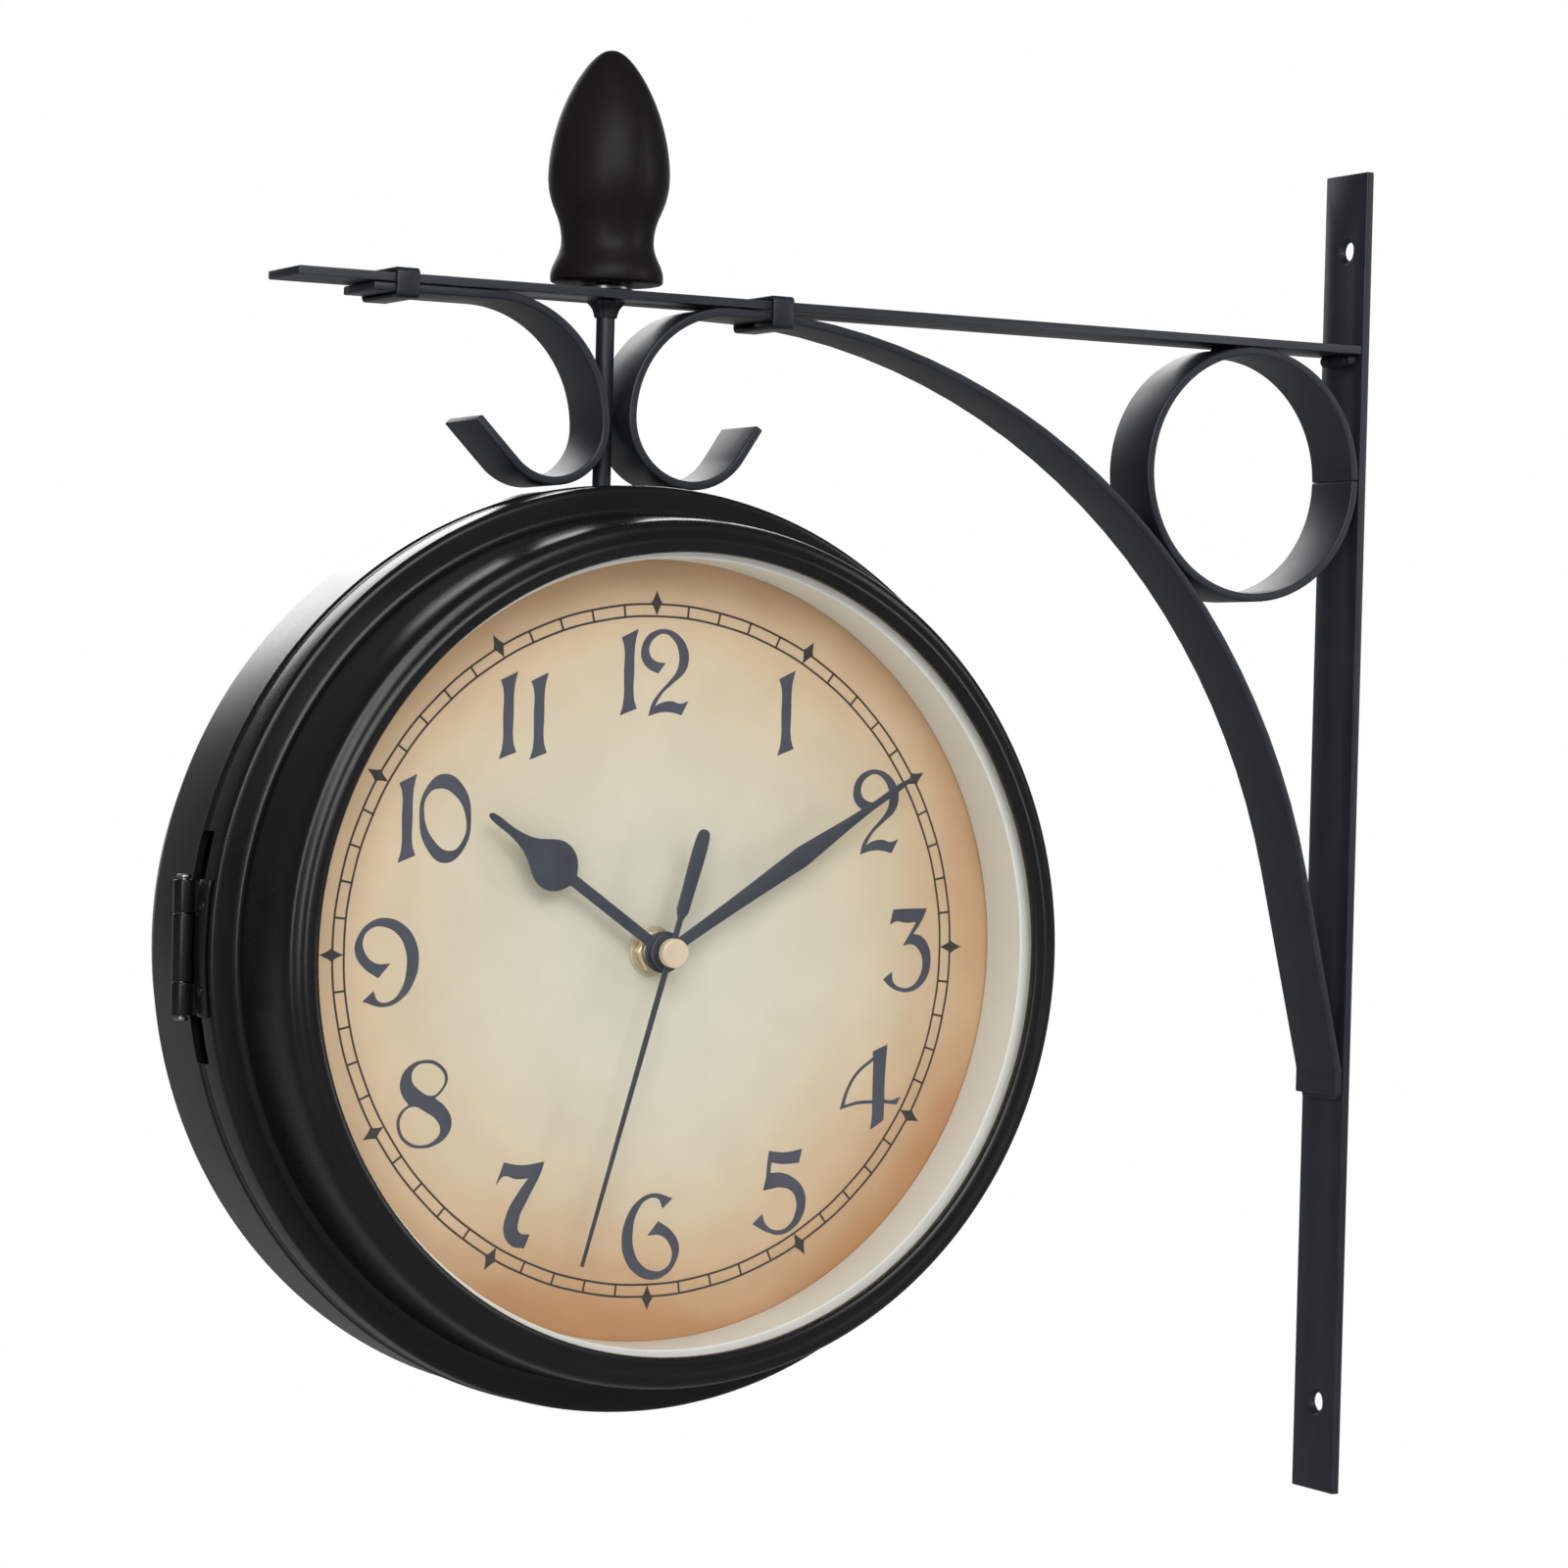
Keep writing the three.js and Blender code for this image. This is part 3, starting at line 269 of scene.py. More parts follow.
def rubbed_edge_group():
    """A mask that is 1 on corners, more here than there, where hands and cloths rub the paint and where a painted
    highlight lightens the edges.
    """
    tree = bpy.data.node_groups.new("rubbed_and_highlit_edges", "ShaderNodeTree")
    for name, value in (("Reach", 0.0006), ("Amount", 1.0)):
        socket = tree.interface.new_socket(name=name, in_out="INPUT", socket_type="NodeSocketFloat")
        socket.default_value = value
    tree.interface.new_socket(name="Mask", in_out="OUTPUT", socket_type="NodeSocketFloat")
    entry = tree.nodes.new("NodeGroupInput")
    leave = tree.nodes.new("NodeGroupOutput")
    rounded = tree.nodes.new("ShaderNodeBevel")
    rounded.samples = 4
    surface = tree.nodes.new("ShaderNodeNewGeometry")
    agree = add_node(tree, "ShaderNodeVectorMath", operation="DOT_PRODUCT")
    edge = tree.nodes.new("ShaderNodeMapRange")
    edge.inputs["From Min"].default_value = 0.985
    edge.inputs["From Max"].default_value = 0.86
    place = tree.nodes.new("ShaderNodeTexCoord")
    uneven = add_node(tree, "ShaderNodeTexNoise", Scale=140.0, Detail=3.0)
    patchy = tree.nodes.new("ShaderNodeMapRange")
    patchy.inputs["From Min"].default_value = 0.4
    patchy.inputs["From Max"].default_value = 0.62
    worn_and_highlit = add_node(tree, "ShaderNodeMath", operation="MULTIPLY")
    scaled = add_node(tree, "ShaderNodeMath", operation="MULTIPLY", use_clamp=True)
    tree.links.new(entry.outputs["Reach"], rounded.inputs["Radius"])
    tree.links.new(rounded.outputs[0], agree.inputs[0])
    tree.links.new(surface.outputs["Normal"], agree.inputs[1])
    tree.links.new(agree.outputs["Value"], edge.inputs["Value"])
    tree.links.new(place.outputs["Object"], uneven.inputs["Vector"])
    tree.links.new(uneven.outputs["Fac"], patchy.inputs["Value"])
    tree.links.new(edge.outputs[0], worn_and_highlit.inputs[0])
    tree.links.new(patchy.outputs[0], worn_and_highlit.inputs[1])
    tree.links.new(worn_and_highlit.outputs[0], scaled.inputs[0])
    tree.links.new(entry.outputs["Amount"], scaled.inputs[1])
    tree.links.new(scaled.outputs[0], leave.inputs["Mask"])
    return tree


speckle = speckle_group()
rubbed_and_highlit_edges = rubbed_edge_group()


def surface_finish(name, dark, light, smooth, rough, blotch, grain, bump, metal=0.0, worn_and_highlit=None, wear_and_highlight=0.0, stretch=1.0):
    """A finish whose colour and gloss vary in blotches, with a grain and, if given, corners lightened by rubbed paint
    and by a painted highlight.
    """
    finish = bpy.data.materials.new(name)
    finish.use_nodes = True
    tree = finish.node_tree
    shader = tree.nodes["Principled BSDF"]
    shader.inputs["Metallic"].default_value = metal
    marks = add_node(tree, "ShaderNodeGroup", node_tree=speckle)
    marks.inputs["Blotch Scale"].default_value = blotch
    marks.inputs["Grain Scale"].default_value = grain
    marks.inputs["Stretch"].default_value = stretch
    mixture = add_node(tree, "ShaderNodeMath", operation="MULTIPLY_ADD")
    mixture.inputs[1].default_value = 0.6
    half_grain = add_node(tree, "ShaderNodeMath", operation="MULTIPLY")
    half_grain.inputs[1].default_value = 0.4
    colour = add_node(tree, "ShaderNodeMix", data_type="RGBA")
    colour.inputs["A"].default_value = dark
    colour.inputs["B"].default_value = light
    gloss = tree.nodes.new("ShaderNodeMapRange")
    gloss.inputs["To Min"].default_value = smooth
    gloss.inputs["To Max"].default_value = rough
    relief = add_node(tree, "ShaderNodeBump", Strength=0.6, Distance=bump)
    tree.links.new(marks.outputs["Grain"], half_grain.inputs[0])
    tree.links.new(marks.outputs["Blotch"], mixture.inputs[0])
    tree.links.new(half_grain.outputs[0], mixture.inputs[2])
    tree.links.new(mixture.outputs[0], colour.inputs["Factor"])
    tree.links.new(mixture.outputs[0], gloss.inputs["Value"])
    tree.links.new(marks.outputs["Height"], relief.inputs["Height"])
    tree.links.new(gloss.outputs[0], shader.inputs["Roughness"])
    tree.links.new(relief.outputs[0], shader.inputs["Normal"])
    if worn_and_highlit is None:
        tree.links.new(colour.outputs["Result"], shader.inputs["Base Color"])
        return finish
    # Lighter corners: partly rubbed paint, partly a painted highlight along the edges.
    edges = add_node(tree, "ShaderNodeGroup", node_tree=rubbed_and_highlit_edges)
    edges.inputs["Amount"].default_value = wear_and_highlight
    rubbed_and_highlit = add_node(tree, "ShaderNodeMix", data_type="RGBA")
    rubbed_and_highlit.inputs["B"].default_value = worn_and_highlit
    tree.links.new(edges.outputs["Mask"], rubbed_and_highlit.inputs["Factor"])
    tree.links.new(colour.outputs["Result"], rubbed_and_highlit.inputs["A"])
    tree.links.new(rubbed_and_highlit.outputs["Result"], shader.inputs["Base Color"])
    return finish


# The bracket's lighter edges are partly rubbed paint and partly a painted highlight.
bracket_coat = surface_finish("bracket_coat", coat_dark, coat_light, 0.34, 0.5, 45, 1500, 0.00003,
                              worn_and_highlit=as_seen(88, 92, 98), wear_and_highlight=0.35)


def begin(kind, **settings):
    """Deselects all, adds one primitive and gives it back."""
    bpy.ops.object.select_all(action="DESELECT")
    bpy.context.tool_settings.mesh_select_mode = (True, False, False)
    kind(**settings)
    return bpy.context.object


def pick_faces(piece, wanted):
    """Leaves the piece in edit mode with just the faces selected whose normal and middle are wanted."""
    select_only(piece)
    bpy.ops.object.mode_set(mode="EDIT")
    bpy.ops.mesh.select_mode(type="FACE")
    bpy.ops.mesh.select_all(action="DESELECT")
    working = bmesh.from_edit_mesh(piece.data)
    for face in working.faces:
        if wanted(face.normal, face.calc_center_median()):
            face.select_set(True)
    bmesh.update_edit_mesh(piece.data)


def pick_edges(piece, wanted):
    """The same for edges, by their direction and middle."""
    select_only(piece)
    bpy.ops.object.mode_set(mode="EDIT")
    bpy.ops.mesh.select_mode(type="EDGE")
    bpy.ops.mesh.select_all(action="DESELECT")
    working = bmesh.from_edit_mesh(piece.data)
    for edge in working.edges:
        one, two = (vertex.co for vertex in edge.verts)
        if wanted((two - one).normalized(), (one + two) / 2):
            edge.select_set(True)
    bmesh.update_edit_mesh(piece.data)


def dress_edges(piece, width, segments=3, angle=38):
    """Rounds the sharp edges, and shades smooth whatever is flatter than the angle."""
    dressing = piece.modifiers.new("dressed_edges", "BEVEL")
    dressing.width = width
    dressing.segments = segments
    dressing.limit_method = "ANGLE"
    dressing.angle_limit = math.radians(angle)
    dressing.harden_normals = False
    select_only(piece)
    bpy.ops.object.modifier_apply(modifier=dressing.name)
    bpy.ops.object.shade_smooth_by_angle(angle=math.radians(32))


def select_only(piece):
    bpy.ops.object.select_all(action="DESELECT")
    piece.select_set(True)
    bpy.context.view_layer.objects.active = piece


def settle(piece, turned_out=True):
    """Merges doubles, turns the faces out, and puts the piece's place in its mesh."""
    select_only(piece)
    bpy.ops.object.mode_set(mode="EDIT")
    bpy.ops.mesh.select_all(action="SELECT")
    bpy.ops.mesh.remove_doubles(threshold=0.000002)
    if turned_out:
        bpy.ops.mesh.normals_make_consistent(inside=False)
    bpy.ops.object.mode_set(mode="OBJECT")
    bpy.ops.object.transform_apply(location=True, rotation=True, scale=True)


def take_away(piece, tool, how="DIFFERENCE"):
    """Cuts the tool's shape out of a piece and throws the tool away."""
    cut = piece.modifiers.new("cut", "BOOLEAN")
    cut.operation = how
    cut.object = tool
    cut.solver = "EXACT"
    select_only(piece)
    bpy.ops.object.modifier_apply(modifier=cut.name)
    bpy.data.objects.remove(tool)


def fit(piece, name, body, slot, finish, *nodes):
    """Names a finished piece, gives it its finish and body, and hides the CAD nodes that it stands for."""
    piece.name = name
    piece.data.name = name
    piece.data.materials.clear()
    piece.data.materials.append(finish)
    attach(piece, body)
    if nodes:
        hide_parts(*nodes)
    return piece


wall_bar = begin(bpy.ops.mesh.primitive_cube_add, size=1, location=(-strip_thick / 2, 0, 0),
                 scale=(strip_thick, strip_wide, 2 * wall_bar_half))
settle(wall_bar)
for height in wall_hole_heights:
    drill = begin(bpy.ops.mesh.primitive_cylinder_add, vertices=48, radius=wall_hole_radius, depth=0.02,
                  location=(0, 0, height), rotation=(0, math.pi / 2, 0))
    take_away(wall_bar, drill)
    sink = begin(bpy.ops.mesh.primitive_cone_add, vertices=48, radius1=wall_hole_sink, radius2=wall_hole_radius,
                 depth=0.0014, location=(-strip_thick + 0.0006, 0, height), rotation=(0, math.pi / 2, 0))
    take_away(wall_bar, sink)
dress_edges(wall_bar, strip_edge)
fit(wall_bar, "wall_bar_strip", "bracket", "bracket_steel", bracket_coat, "wall_bar")

# ---------------------------------------------------------------------------------------------
# Top bar. The same strip, laid flat and butted against the wall bar, with a round hole for the
# hanger rod.

top_bar_top = 0.140
top_bar_reach = 0.332
wall_line = -0.0026
rod_x = -0.240
rod_radius = 0.00245
rod_clearance = 0.0003

top_bar_middle = ((-top_bar_reach + wall_line) / 2, 0, top_bar_top - strip_thick / 2)
top_bar = begin(bpy.ops.mesh.primitive_cube_add, size=1, location=top_bar_middle,
                scale=(top_bar_reach + wall_line, strip_wide, strip_thick))
settle(top_bar)
drill = begin(bpy.ops.mesh.primitive_cylinder_add, vertices=48, radius=rod_radius + rod_clearance, depth=0.02,
              location=(rod_x, 0, top_bar_top))
take_away(top_bar, drill)
dress_edges(top_bar, strip_edge)
fit(top_bar, "top_bar_strip", "bracket", "bracket_steel", bracket_coat, "top_bar")

# ---------------------------------------------------------------------------------------------
# Scrolls, arch and ring. Each is the same strip rolled cold to its curve. The arch and the right
# scroll are one length; the ring is rolled round until its ends butt.

under_line = top_bar_top - strip_thick - 0.0003


def rolled_strip(start, heading, side, steps):
    """Rolls the flat strip from a start in X and Z, along runs and arcs of one of its faces.

    heading is in degrees from +X towards +Z. side is +1 where the strip's thickness lies to the
    left of that face, and -1 to the right. A step is a length, or a pair of radius and degrees."""
    turn = math.radians(heading)
    at = Vector((start[0], 0, start[1]))
    left = Vector((-math.sin(turn), 0, math.cos(turn)))
    strip = begin(bpy.ops.mesh.primitive_plane_add, size=1, location=at + left * side * strip_thick / 2,
                  rotation=(0, math.pi / 2 - turn, 0))
    strip.scale = (strip_thick, strip_wide, 1)
    bpy.ops.object.transform_apply(location=True, rotation=True, scale=True)
    bpy.ops.object.mode_set(mode="EDIT")
    bpy.ops.mesh.select_all(action="SELECT")
    for step in steps:
        if not isinstance(step, tuple):
            ahead = Vector((math.cos(turn), 0, math.sin(turn))) * step
            bpy.ops.mesh.extrude_region_move(TRANSFORM_OT_translate={"value": ahead})
            at = at + ahead
            continue
        radius, degrees = step
        sweep = math.radians(degrees)
        left = Vector((-math.sin(turn), 0, math.cos(turn)))
        centre = at + left * math.copysign(radius, degrees)
        bpy.ops.mesh.spin(steps=max(2, round(abs(degrees) / 3)), angle=sweep, center=centre, axis=(0, 1, 0))
        at = centre + Matrix.Rotation(sweep, 3, (0, -1, 0)) @ (at - centre)
        turn += sweep
    bpy.ops.object.mode_set(mode="OBJECT")
    settle(strip)
    dress_edges(strip, strip_edge)
    return strip


left_scroll_lap = 0.311
left_scroll_radii = (0.0334, 0.0162)
left_scroll_tail = 0.0155
left_flat = left_scroll_lap + rod_x - rod_radius - rod_clearance - left_scroll_radii[0]
left_scroll = rolled_strip((-left_scroll_lap, under_line), 0, -1, [
    left_flat, (left_scroll_radii[0], -90), (left_scroll_radii[1], -135), left_scroll_tail])
fit(left_scroll, "left_scroll_strip", "bracket", "bracket_steel", bracket_coat, "left_scroll")

ring_radius = 0.036
ring_centre = Vector((wall_line - ring_radius, 0, under_line - ring_radius))
right_scroll_radii = (0.0302, 0.0188)
right_scroll_curl = 147
right_scroll_tail = 0.010
arch_sweep = 76
arch_foot = 0.006
arch_foot_bend = 0.010
crown_x = rod_x + rod_radius + rod_clearance + right_scroll_radii[0]

arch_across = ring_centre.x - crown_x
arch_below = under_line - ring_centre.z
arch_clear = ring_radius + 0.0003
arch_radius = (arch_across ** 2 + arch_below ** 2 - arch_clear ** 2) / (2 * (arch_clear + arch_below))
arch_turn = math.radians(arch_sweep)
arch_end_x = crown_x + arch_radius * math.sin(arch_turn)
arch_straight = (wall_line - arch_foot_bend * (1 - math.sin(arch_turn)) - arch_end_x) / math.cos(arch_turn)

# The strip's free end is the curl's tip, so it is rolled from the tip back to the foot.
curl_small, curl_big = right_scroll_radii[1], right_scroll_radii[0]
tip_turn = math.radians(180 + 90 + right_scroll_curl)
small_centre = Vector((crown_x - curl_big + curl_small, 0, under_line - curl_big))
tip_face = small_centre + Vector((math.sin(tip_turn), 0, -math.cos(tip_turn))) * curl_small
tip = tip_face + Vector((math.cos(tip_turn), 0, math.sin(tip_turn))) * right_scroll_tail
brace = rolled_strip((tip.x, tip.z), math.degrees(tip_turn) + 180, -1, [
    right_scroll_tail, (curl_small, -right_scroll_curl), (curl_big, -90), (arch_radius, -arch_sweep),
    arch_straight, (arch_foot_bend, arch_sweep - 90), arch_foot])
fit(brace, "brace_and_right_scroll", "bracket", "bracket_steel", bracket_coat, "brace_strip")

ring_gap = 0.16
ring = rolled_strip((ring_centre.x + ring_radius, ring_centre.z), 90, 1, [(ring_radius, 360 - ring_gap)])
fit(ring, "brace_ring_strip", "bracket", "bracket_steel", bracket_coat, "brace_ring")

# ---------------------------------------------------------------------------------------------
# Collars. Short bands of flat steel, folded tight round the scroll and the top bar together.

collar_wall = 0.0012
collar_drawn_in = 0.86


def collar_band(node, name):
    low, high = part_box(node)
    size = high - low
    size.x *= collar_drawn_in
    band = begin(bpy.ops.mesh.primitive_cube_add, size=1, location=(low + high) / 2, scale=size)
    settle(band)
    pick_faces(band, lambda normal, middle: abs(normal.x) > 0.9)
    bpy.ops.mesh.delete(type="FACE")
    bpy.ops.object.mode_set(mode="OBJECT")
    corner = band.modifiers.new("folded_corners", "BEVEL")
    corner.width = 0.0016
    corner.segments = 5
    wall = band.modifiers.new("band_wall", "SOLIDIFY")
    wall.thickness = collar_wall - 0.0001
    wall.offset = -1
    for modifier in (corner.name, wall.name):
        bpy.ops.object.modifier_apply(modifier=modifier)
    dress_edges(band, 0.0004)
    fit(band, name, "bracket", "bracket_steel", bracket_coat, node)


collar_band("collar_outer", "collar_outer_band")
collar_band("collar_inner", "collar_inner_band")

# ---------------------------------------------------------------------------------------------
# Welds. Small hand-laid beads of filler steel, rippled where the weld pool froze, under the same
# black coat.

weld_coat = surface_finish("weld_coat", as_seen(24, 25, 28), as_seen(46, 48, 53), 0.4, 0.62, 160, 2200, 0.0003)


def weld_bead(name, start, end, radius, node=None, seed=0.0):
    """A bead from start to end, as a run of small frozen ripples."""
    start, end = Vector(start), Vector(end)
    length = (end - start).length
    rings = max(8, round(length / 0.00035))
    bead = begin(bpy.ops.mesh.primitive_cylinder_add, vertices=14, radius=radius, depth=length,
                 location=(start + end) / 2, rotation=(end - start).to_track_quat("Z", "Y").to_euler())
    bpy.ops.object.transform_apply(location=True, rotation=True, scale=True)
    axis = (end - start).normalized()
    pick_edges(bead, lambda direction, middle: abs(direction.dot(axis)) > 0.9)
    bpy.ops.mesh.subdivide(number_cuts=rings)
    bpy.ops.object.mode_set(mode="OBJECT")
    for vertex in bead.data.vertices:
        along = (vertex.co - start).dot(axis)
        core = start + axis * along
        ripple = 1 + 0.1 * math.cos(along / 0.0011 * 2 * math.pi + seed)
        sway = 0.07 * math.sin(along / 0.0029 * 2 * math.pi + 2 * seed)
        closing = min(1, max(0.25, math.sqrt(max(0, min(along, length - along)) / (0.9 * radius))))
        vertex.co = core + (vertex.co - core) * (ripple + sway) * closing
    settle(bead)
    bpy.ops.object.shade_smooth_by_angle(angle=math.radians(60))
    fit(bead, name, "bracket", "bracket_steel", weld_coat, *([node] if node else []))
    return bead


weld_bead("corner_weld_bead", (wall_line - 0.0011, -0.0079, under_line - 0.0011),
          (wall_line - 0.0011, 0.0079, under_line - 0.0011), 0.0017, "corner_weld")
weld_bead("ring_wall_weld", (wall_line - 0.0008, -0.0070, ring_centre.z + 0.0052),
          (wall_line - 0.0008, 0.0078, ring_centre.z + 0.0052), 0.0010, seed=1.0)
weld_bead("ring_wall_weld_low", (wall_line - 0.0008, -0.0086, ring_centre.z - 0.0052),
          (wall_line - 0.0008, 0.0066, ring_centre.z - 0.0052), 0.0010, seed=2.2)
weld_bead("ring_top_weld", (ring_centre.x - 0.0050, -0.0078, under_line - 0.0008),
          (ring_centre.x - 0.0050, 0.0060, under_line - 0.0008), 0.0010, seed=3.1)
arch_centre = Vector((crown_x, 0, under_line - arch_radius))
to_arch = (ring_centre - arch_centre).normalized()
touch = arch_centre + to_arch * (arch_radius + 0.0001)
slide = Vector((to_arch.z, 0, -to_arch.x)) * 0.0058
weld_bead("ring_arch_weld", touch + slide + to_arch * 0.0005 + Vector((0, -0.0082, 0)),
          touch + slide + to_arch * 0.0005 + Vector((0, 0.0072, 0)), 0.0010, seed=4.0)
weld_bead("ring_arch_weld_high", touch - slide + to_arch * 0.0005 + Vector((0, -0.0070, 0)),
          touch - slide + to_arch * 0.0005 + Vector((0, 0.0080, 0)), 0.0010, seed=5.3)
foot_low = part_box("brace_strip")[0].z
weld_bead("foot_weld", (wall_line - 0.0006, -0.0090, foot_low - 0.0002),
          (wall_line - 0.0006, 0.0084, foot_low - 0.0002), 0.0011, seed=0.6)

# ---------------------------------------------------------------------------------------------
# Hanger rod and its weld. A plain 5 mm steel rod through the top bar, with a fillet of weld run
# round it on the underside, and washer and nuts that carry the casing inside.

rod_low, rod_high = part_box("hanger_rod")
rod_foot = rod_low.z
rod_head = rod_high.z


def outline_points(corners):
    """Closed outline in radius and height with each corner rounded by its own set-back."""
    points = []
    for i, corner in enumerate(corners):
        here = Vector(corner[:2])
        reach = corner[2] if len(corner) > 2 else 0
        if not reach:
            points.append(here)
            continue
        back = Vector(corners[i - 1][:2]) - here
        on = Vector(corners[(i + 1) % len(corners)][:2]) - here
        first = here + back.normalized() * min(reach, 0.49 * back.length)
        last = here + on.normalized() * min(reach, 0.49 * on.length)
        for step in range(5):
            share = step / 4
            points.append(first * (1 - share) ** 2 + here * 2 * share * (1 - share) + last * share ** 2)
    return points


def on_lathe(corners, steps, lying=False):
    """Turns an outline of radius and height, in millimetres, about Z, or about Y when lying.

    A lying outline's height runs forward, towards -Y."""
    def at(point):
        return Vector((point.x, -point.y, 0)) / 1000 if lying else Vector((point.x, 0, point.y)) / 1000
    points = outline_points(corners)
    piece = begin(bpy.ops.mesh.primitive_plane_add, size=0.001, location=at(points[0]))
    bpy.ops.object.mode_set(mode="EDIT")
    bpy.ops.mesh.select_all(action="SELECT")
    bpy.ops.mesh.merge(type="CENTER")
    for one, two in zip(points, points[1:] + points[:1]):
        bpy.ops.mesh.extrude_region_move(TRANSFORM_OT_translate={"value": at(two) - at(one)})
    bpy.ops.mesh.select_all(action="SELECT")
    bpy.ops.mesh.remove_doubles(threshold=0.000001)
    bpy.ops.mesh.select_all(action="SELECT")
    bpy.ops.mesh.spin(steps=steps, angle=2 * math.pi, center=(0, 0, 0), axis=(0, 1, 0) if lying else (0, 0, 1))
    bpy.ops.object.mode_set(mode="OBJECT")
    settle(piece)
    bpy.ops.object.shade_smooth_by_angle(angle=math.radians(30))
    return piece


def move_to(piece, place):
    """Puts a piece at its place, given as a matrix or a point, and keeps that in its mesh."""
    matrix = place if isinstance(place, Matrix) else Matrix.Translation(place)
    piece.data.transform(matrix)
    piece.data.update()
    return piece


rod = on_lathe([(0, 0), (2.45, 0, 0.4), (2.45, (rod_head - rod_foot) * 1000, 0.4), (0, (rod_head - rod_foot) * 1000)], 48)
move_to(rod, Vector((rod_x, 0, rod_foot)))
fit(rod, "hanger_rod_bar", "bracket", "bracket_steel", bracket_coat, "hanger_rod")

rod_weld = on_lathe([(2.6, -4.2), (2.95, -4.3, 0.3), (3.4, -2.2, 1.2), (4.9, -0.5, 0.4), (4.95, 0), (2.6, 0)], 56)
for vertex in rod_weld.data.vertices:
    around = math.atan2(vertex.co.y, vertex.co.x)
    swell = 1 + 0.05 * math.cos(around * 15) + 0.04 * math.sin(around * 4 + 0.7)
    outward = math.hypot(vertex.co.x, vertex.co.y)
    if outward > 0.0028:
        vertex.co.x *= swell
        vertex.co.y *= swell
move_to(rod_weld, Vector((rod_x, 0, under_line)))
fit(rod_weld, "rod_weld_fillet", "bracket", "bracket_steel", weld_coat, "rod_weld")

zinc = surface_finish("zinc_plate", as_seen(142, 145, 148), as_seen(188, 190, 192), 0.22, 0.42, 260, 1600, 0.00004,
                      metal=1.0)


def washer_over(node, body, radius, bore, finish, slot, name):
    """An upright stamped washer with rolled edges, in the place of a node."""
    low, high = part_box(node)
    thick = (high.z - low.z) * 1000
    washer = on_lathe([(bore, 0, 0.15), (radius, 0, 0.3), (radius, thick, 0.3), (bore, thick, 0.15)], 64)
    move_to(washer, Vector(((low.x + high.x) / 2, (low.y + high.y) / 2, low.z)))
    fit(washer, name, body, slot, finish, node)
    return washer


def chamfered_nut(radius, bore, thick):
    """A hexagon nut along Z: six flats, both faces turned to a cone, and a bored hole."""
    nut = begin(bpy.ops.mesh.primitive_cylinder_add, vertices=6, radius=radius / 1000, depth=thick / 1000,
                location=(0, 0, thick / 2000), rotation=(0, 0, math.pi / 2))
    settle(nut)
    turned = on_lathe([(0, 0), (radius * 0.87, 0), (radius * 1.01, thick * 0.16), (radius * 1.01, thick * 0.84),
                       (radius * 0.87, thick), (0, thick)], 64)
    take_away(nut, turned, "INTERSECT")
    drill = on_lathe([(0, -1), (bore + 0.5, -1), (bore + 0.5, 0), (bore, 0.5), (bore, thick - 0.5),
                      (bore + 0.5, thick), (bore + 0.5, thick + 1), (0, thick + 1)], 48)
    take_away(nut, drill)
    dress_edges(nut, 0.00012, 2, 25)
    return nut


washer_over("finial_washer", "bracket", 7, 2.75, zinc, "zinc", "finial_washer_disc")
rod_washer_body = frame["nodes"]["rod_washer"]["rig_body"]
washer_over("rod_washer", rod_washer_body, 5.4, 2.75, zinc, "zinc", "rod_washer_disc")
for node in ("rod_nut", "rod_lock_nut"):
    low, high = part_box(node)
    nut = move_to(chamfered_nut(4.9, 2.75, (high.z - low.z) * 1000), Vector((rod_x, 0, low.z)))
    fit(nut, node + "_hexagon", frame["nodes"][node]["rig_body"], "zinc", zinc, node)

# ---------------------------------------------------------------------------------------------
# Finial. Beech turned on a lathe to a slim vase, stained near black and lacquered to a satin
# gloss, screwed down on the rod's end. Faint turning lines stay in the lacquer.

finial_outline = [(14.4, 0.1), (15.0, 0.6), (15.05, 3.0), (14.2, 5.4), (12.9, 7.8), (12.2, 10.5), (12.3, 13.2),
                  (12.9, 16.4), (14.2, 19.4), (15.4, 22.4), (16.1, 26), (16.2, 29.5), (15.8, 34.5), (14.7, 40),
                  (12.9, 46), (10.2, 52), (7.2, 56.8), (4.4, 60.1), (2.0, 61.7), (0, 62)]
finial_bore = [(0, 22), (2.75, 22), (2.75, 0.6), (3.2, 0.1)]
finial = on_lathe(finial_bore + finial_outline, 48)
rounder = finial.modifiers.new("turned_smooth", "SUBSURF")
rounder.levels = 2
rounder.render_levels = 2
select_only(finial)
bpy.ops.object.modifier_apply(modifier=rounder.name)
finial_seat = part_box("finial")[0].z
move_to(finial, Vector((rod_x, 0, finial_seat)))

lacquer = surface_finish("dark_lacquer", as_seen(17, 14, 15), as_seen(29, 24, 25), 0.46, 0.56, 34, 700, 0.00004,
                         worn_and_highlit=as_seen(58, 48, 44), wear_and_highlight=0.2, stretch=0.3)
tree = lacquer.node_tree
shader = tree.nodes["Principled BSDF"]
shader.inputs["Specular IOR Level"].default_value = 0.17
shader.inputs["Coat Weight"].default_value = 0.04
shader.inputs["Coat Roughness"].default_value = 0.25
place = tree.nodes.new("ShaderNodeTexCoord")
turning = add_node(tree, "ShaderNodeTexWave", wave_type="BANDS", bands_direction="Z", Scale=420.0, Distortion=1.2)
turning.inputs["Detail"].default_value = 3
deeper = add_node(tree, "ShaderNodeBump", Strength=0.25, Distance=0.00004)
tree.links.new(place.outputs["Object"], turning.inputs["Vector"])
tree.links.new(turning.outputs["Fac"], deeper.inputs["Height"])
relief = [node for node in tree.nodes if node.type == "BUMP" and node != deeper][0]
tree.links.new(relief.outputs[0], deeper.inputs["Normal"])
tree.links.new(deeper.outputs[0], shader.inputs["Normal"])
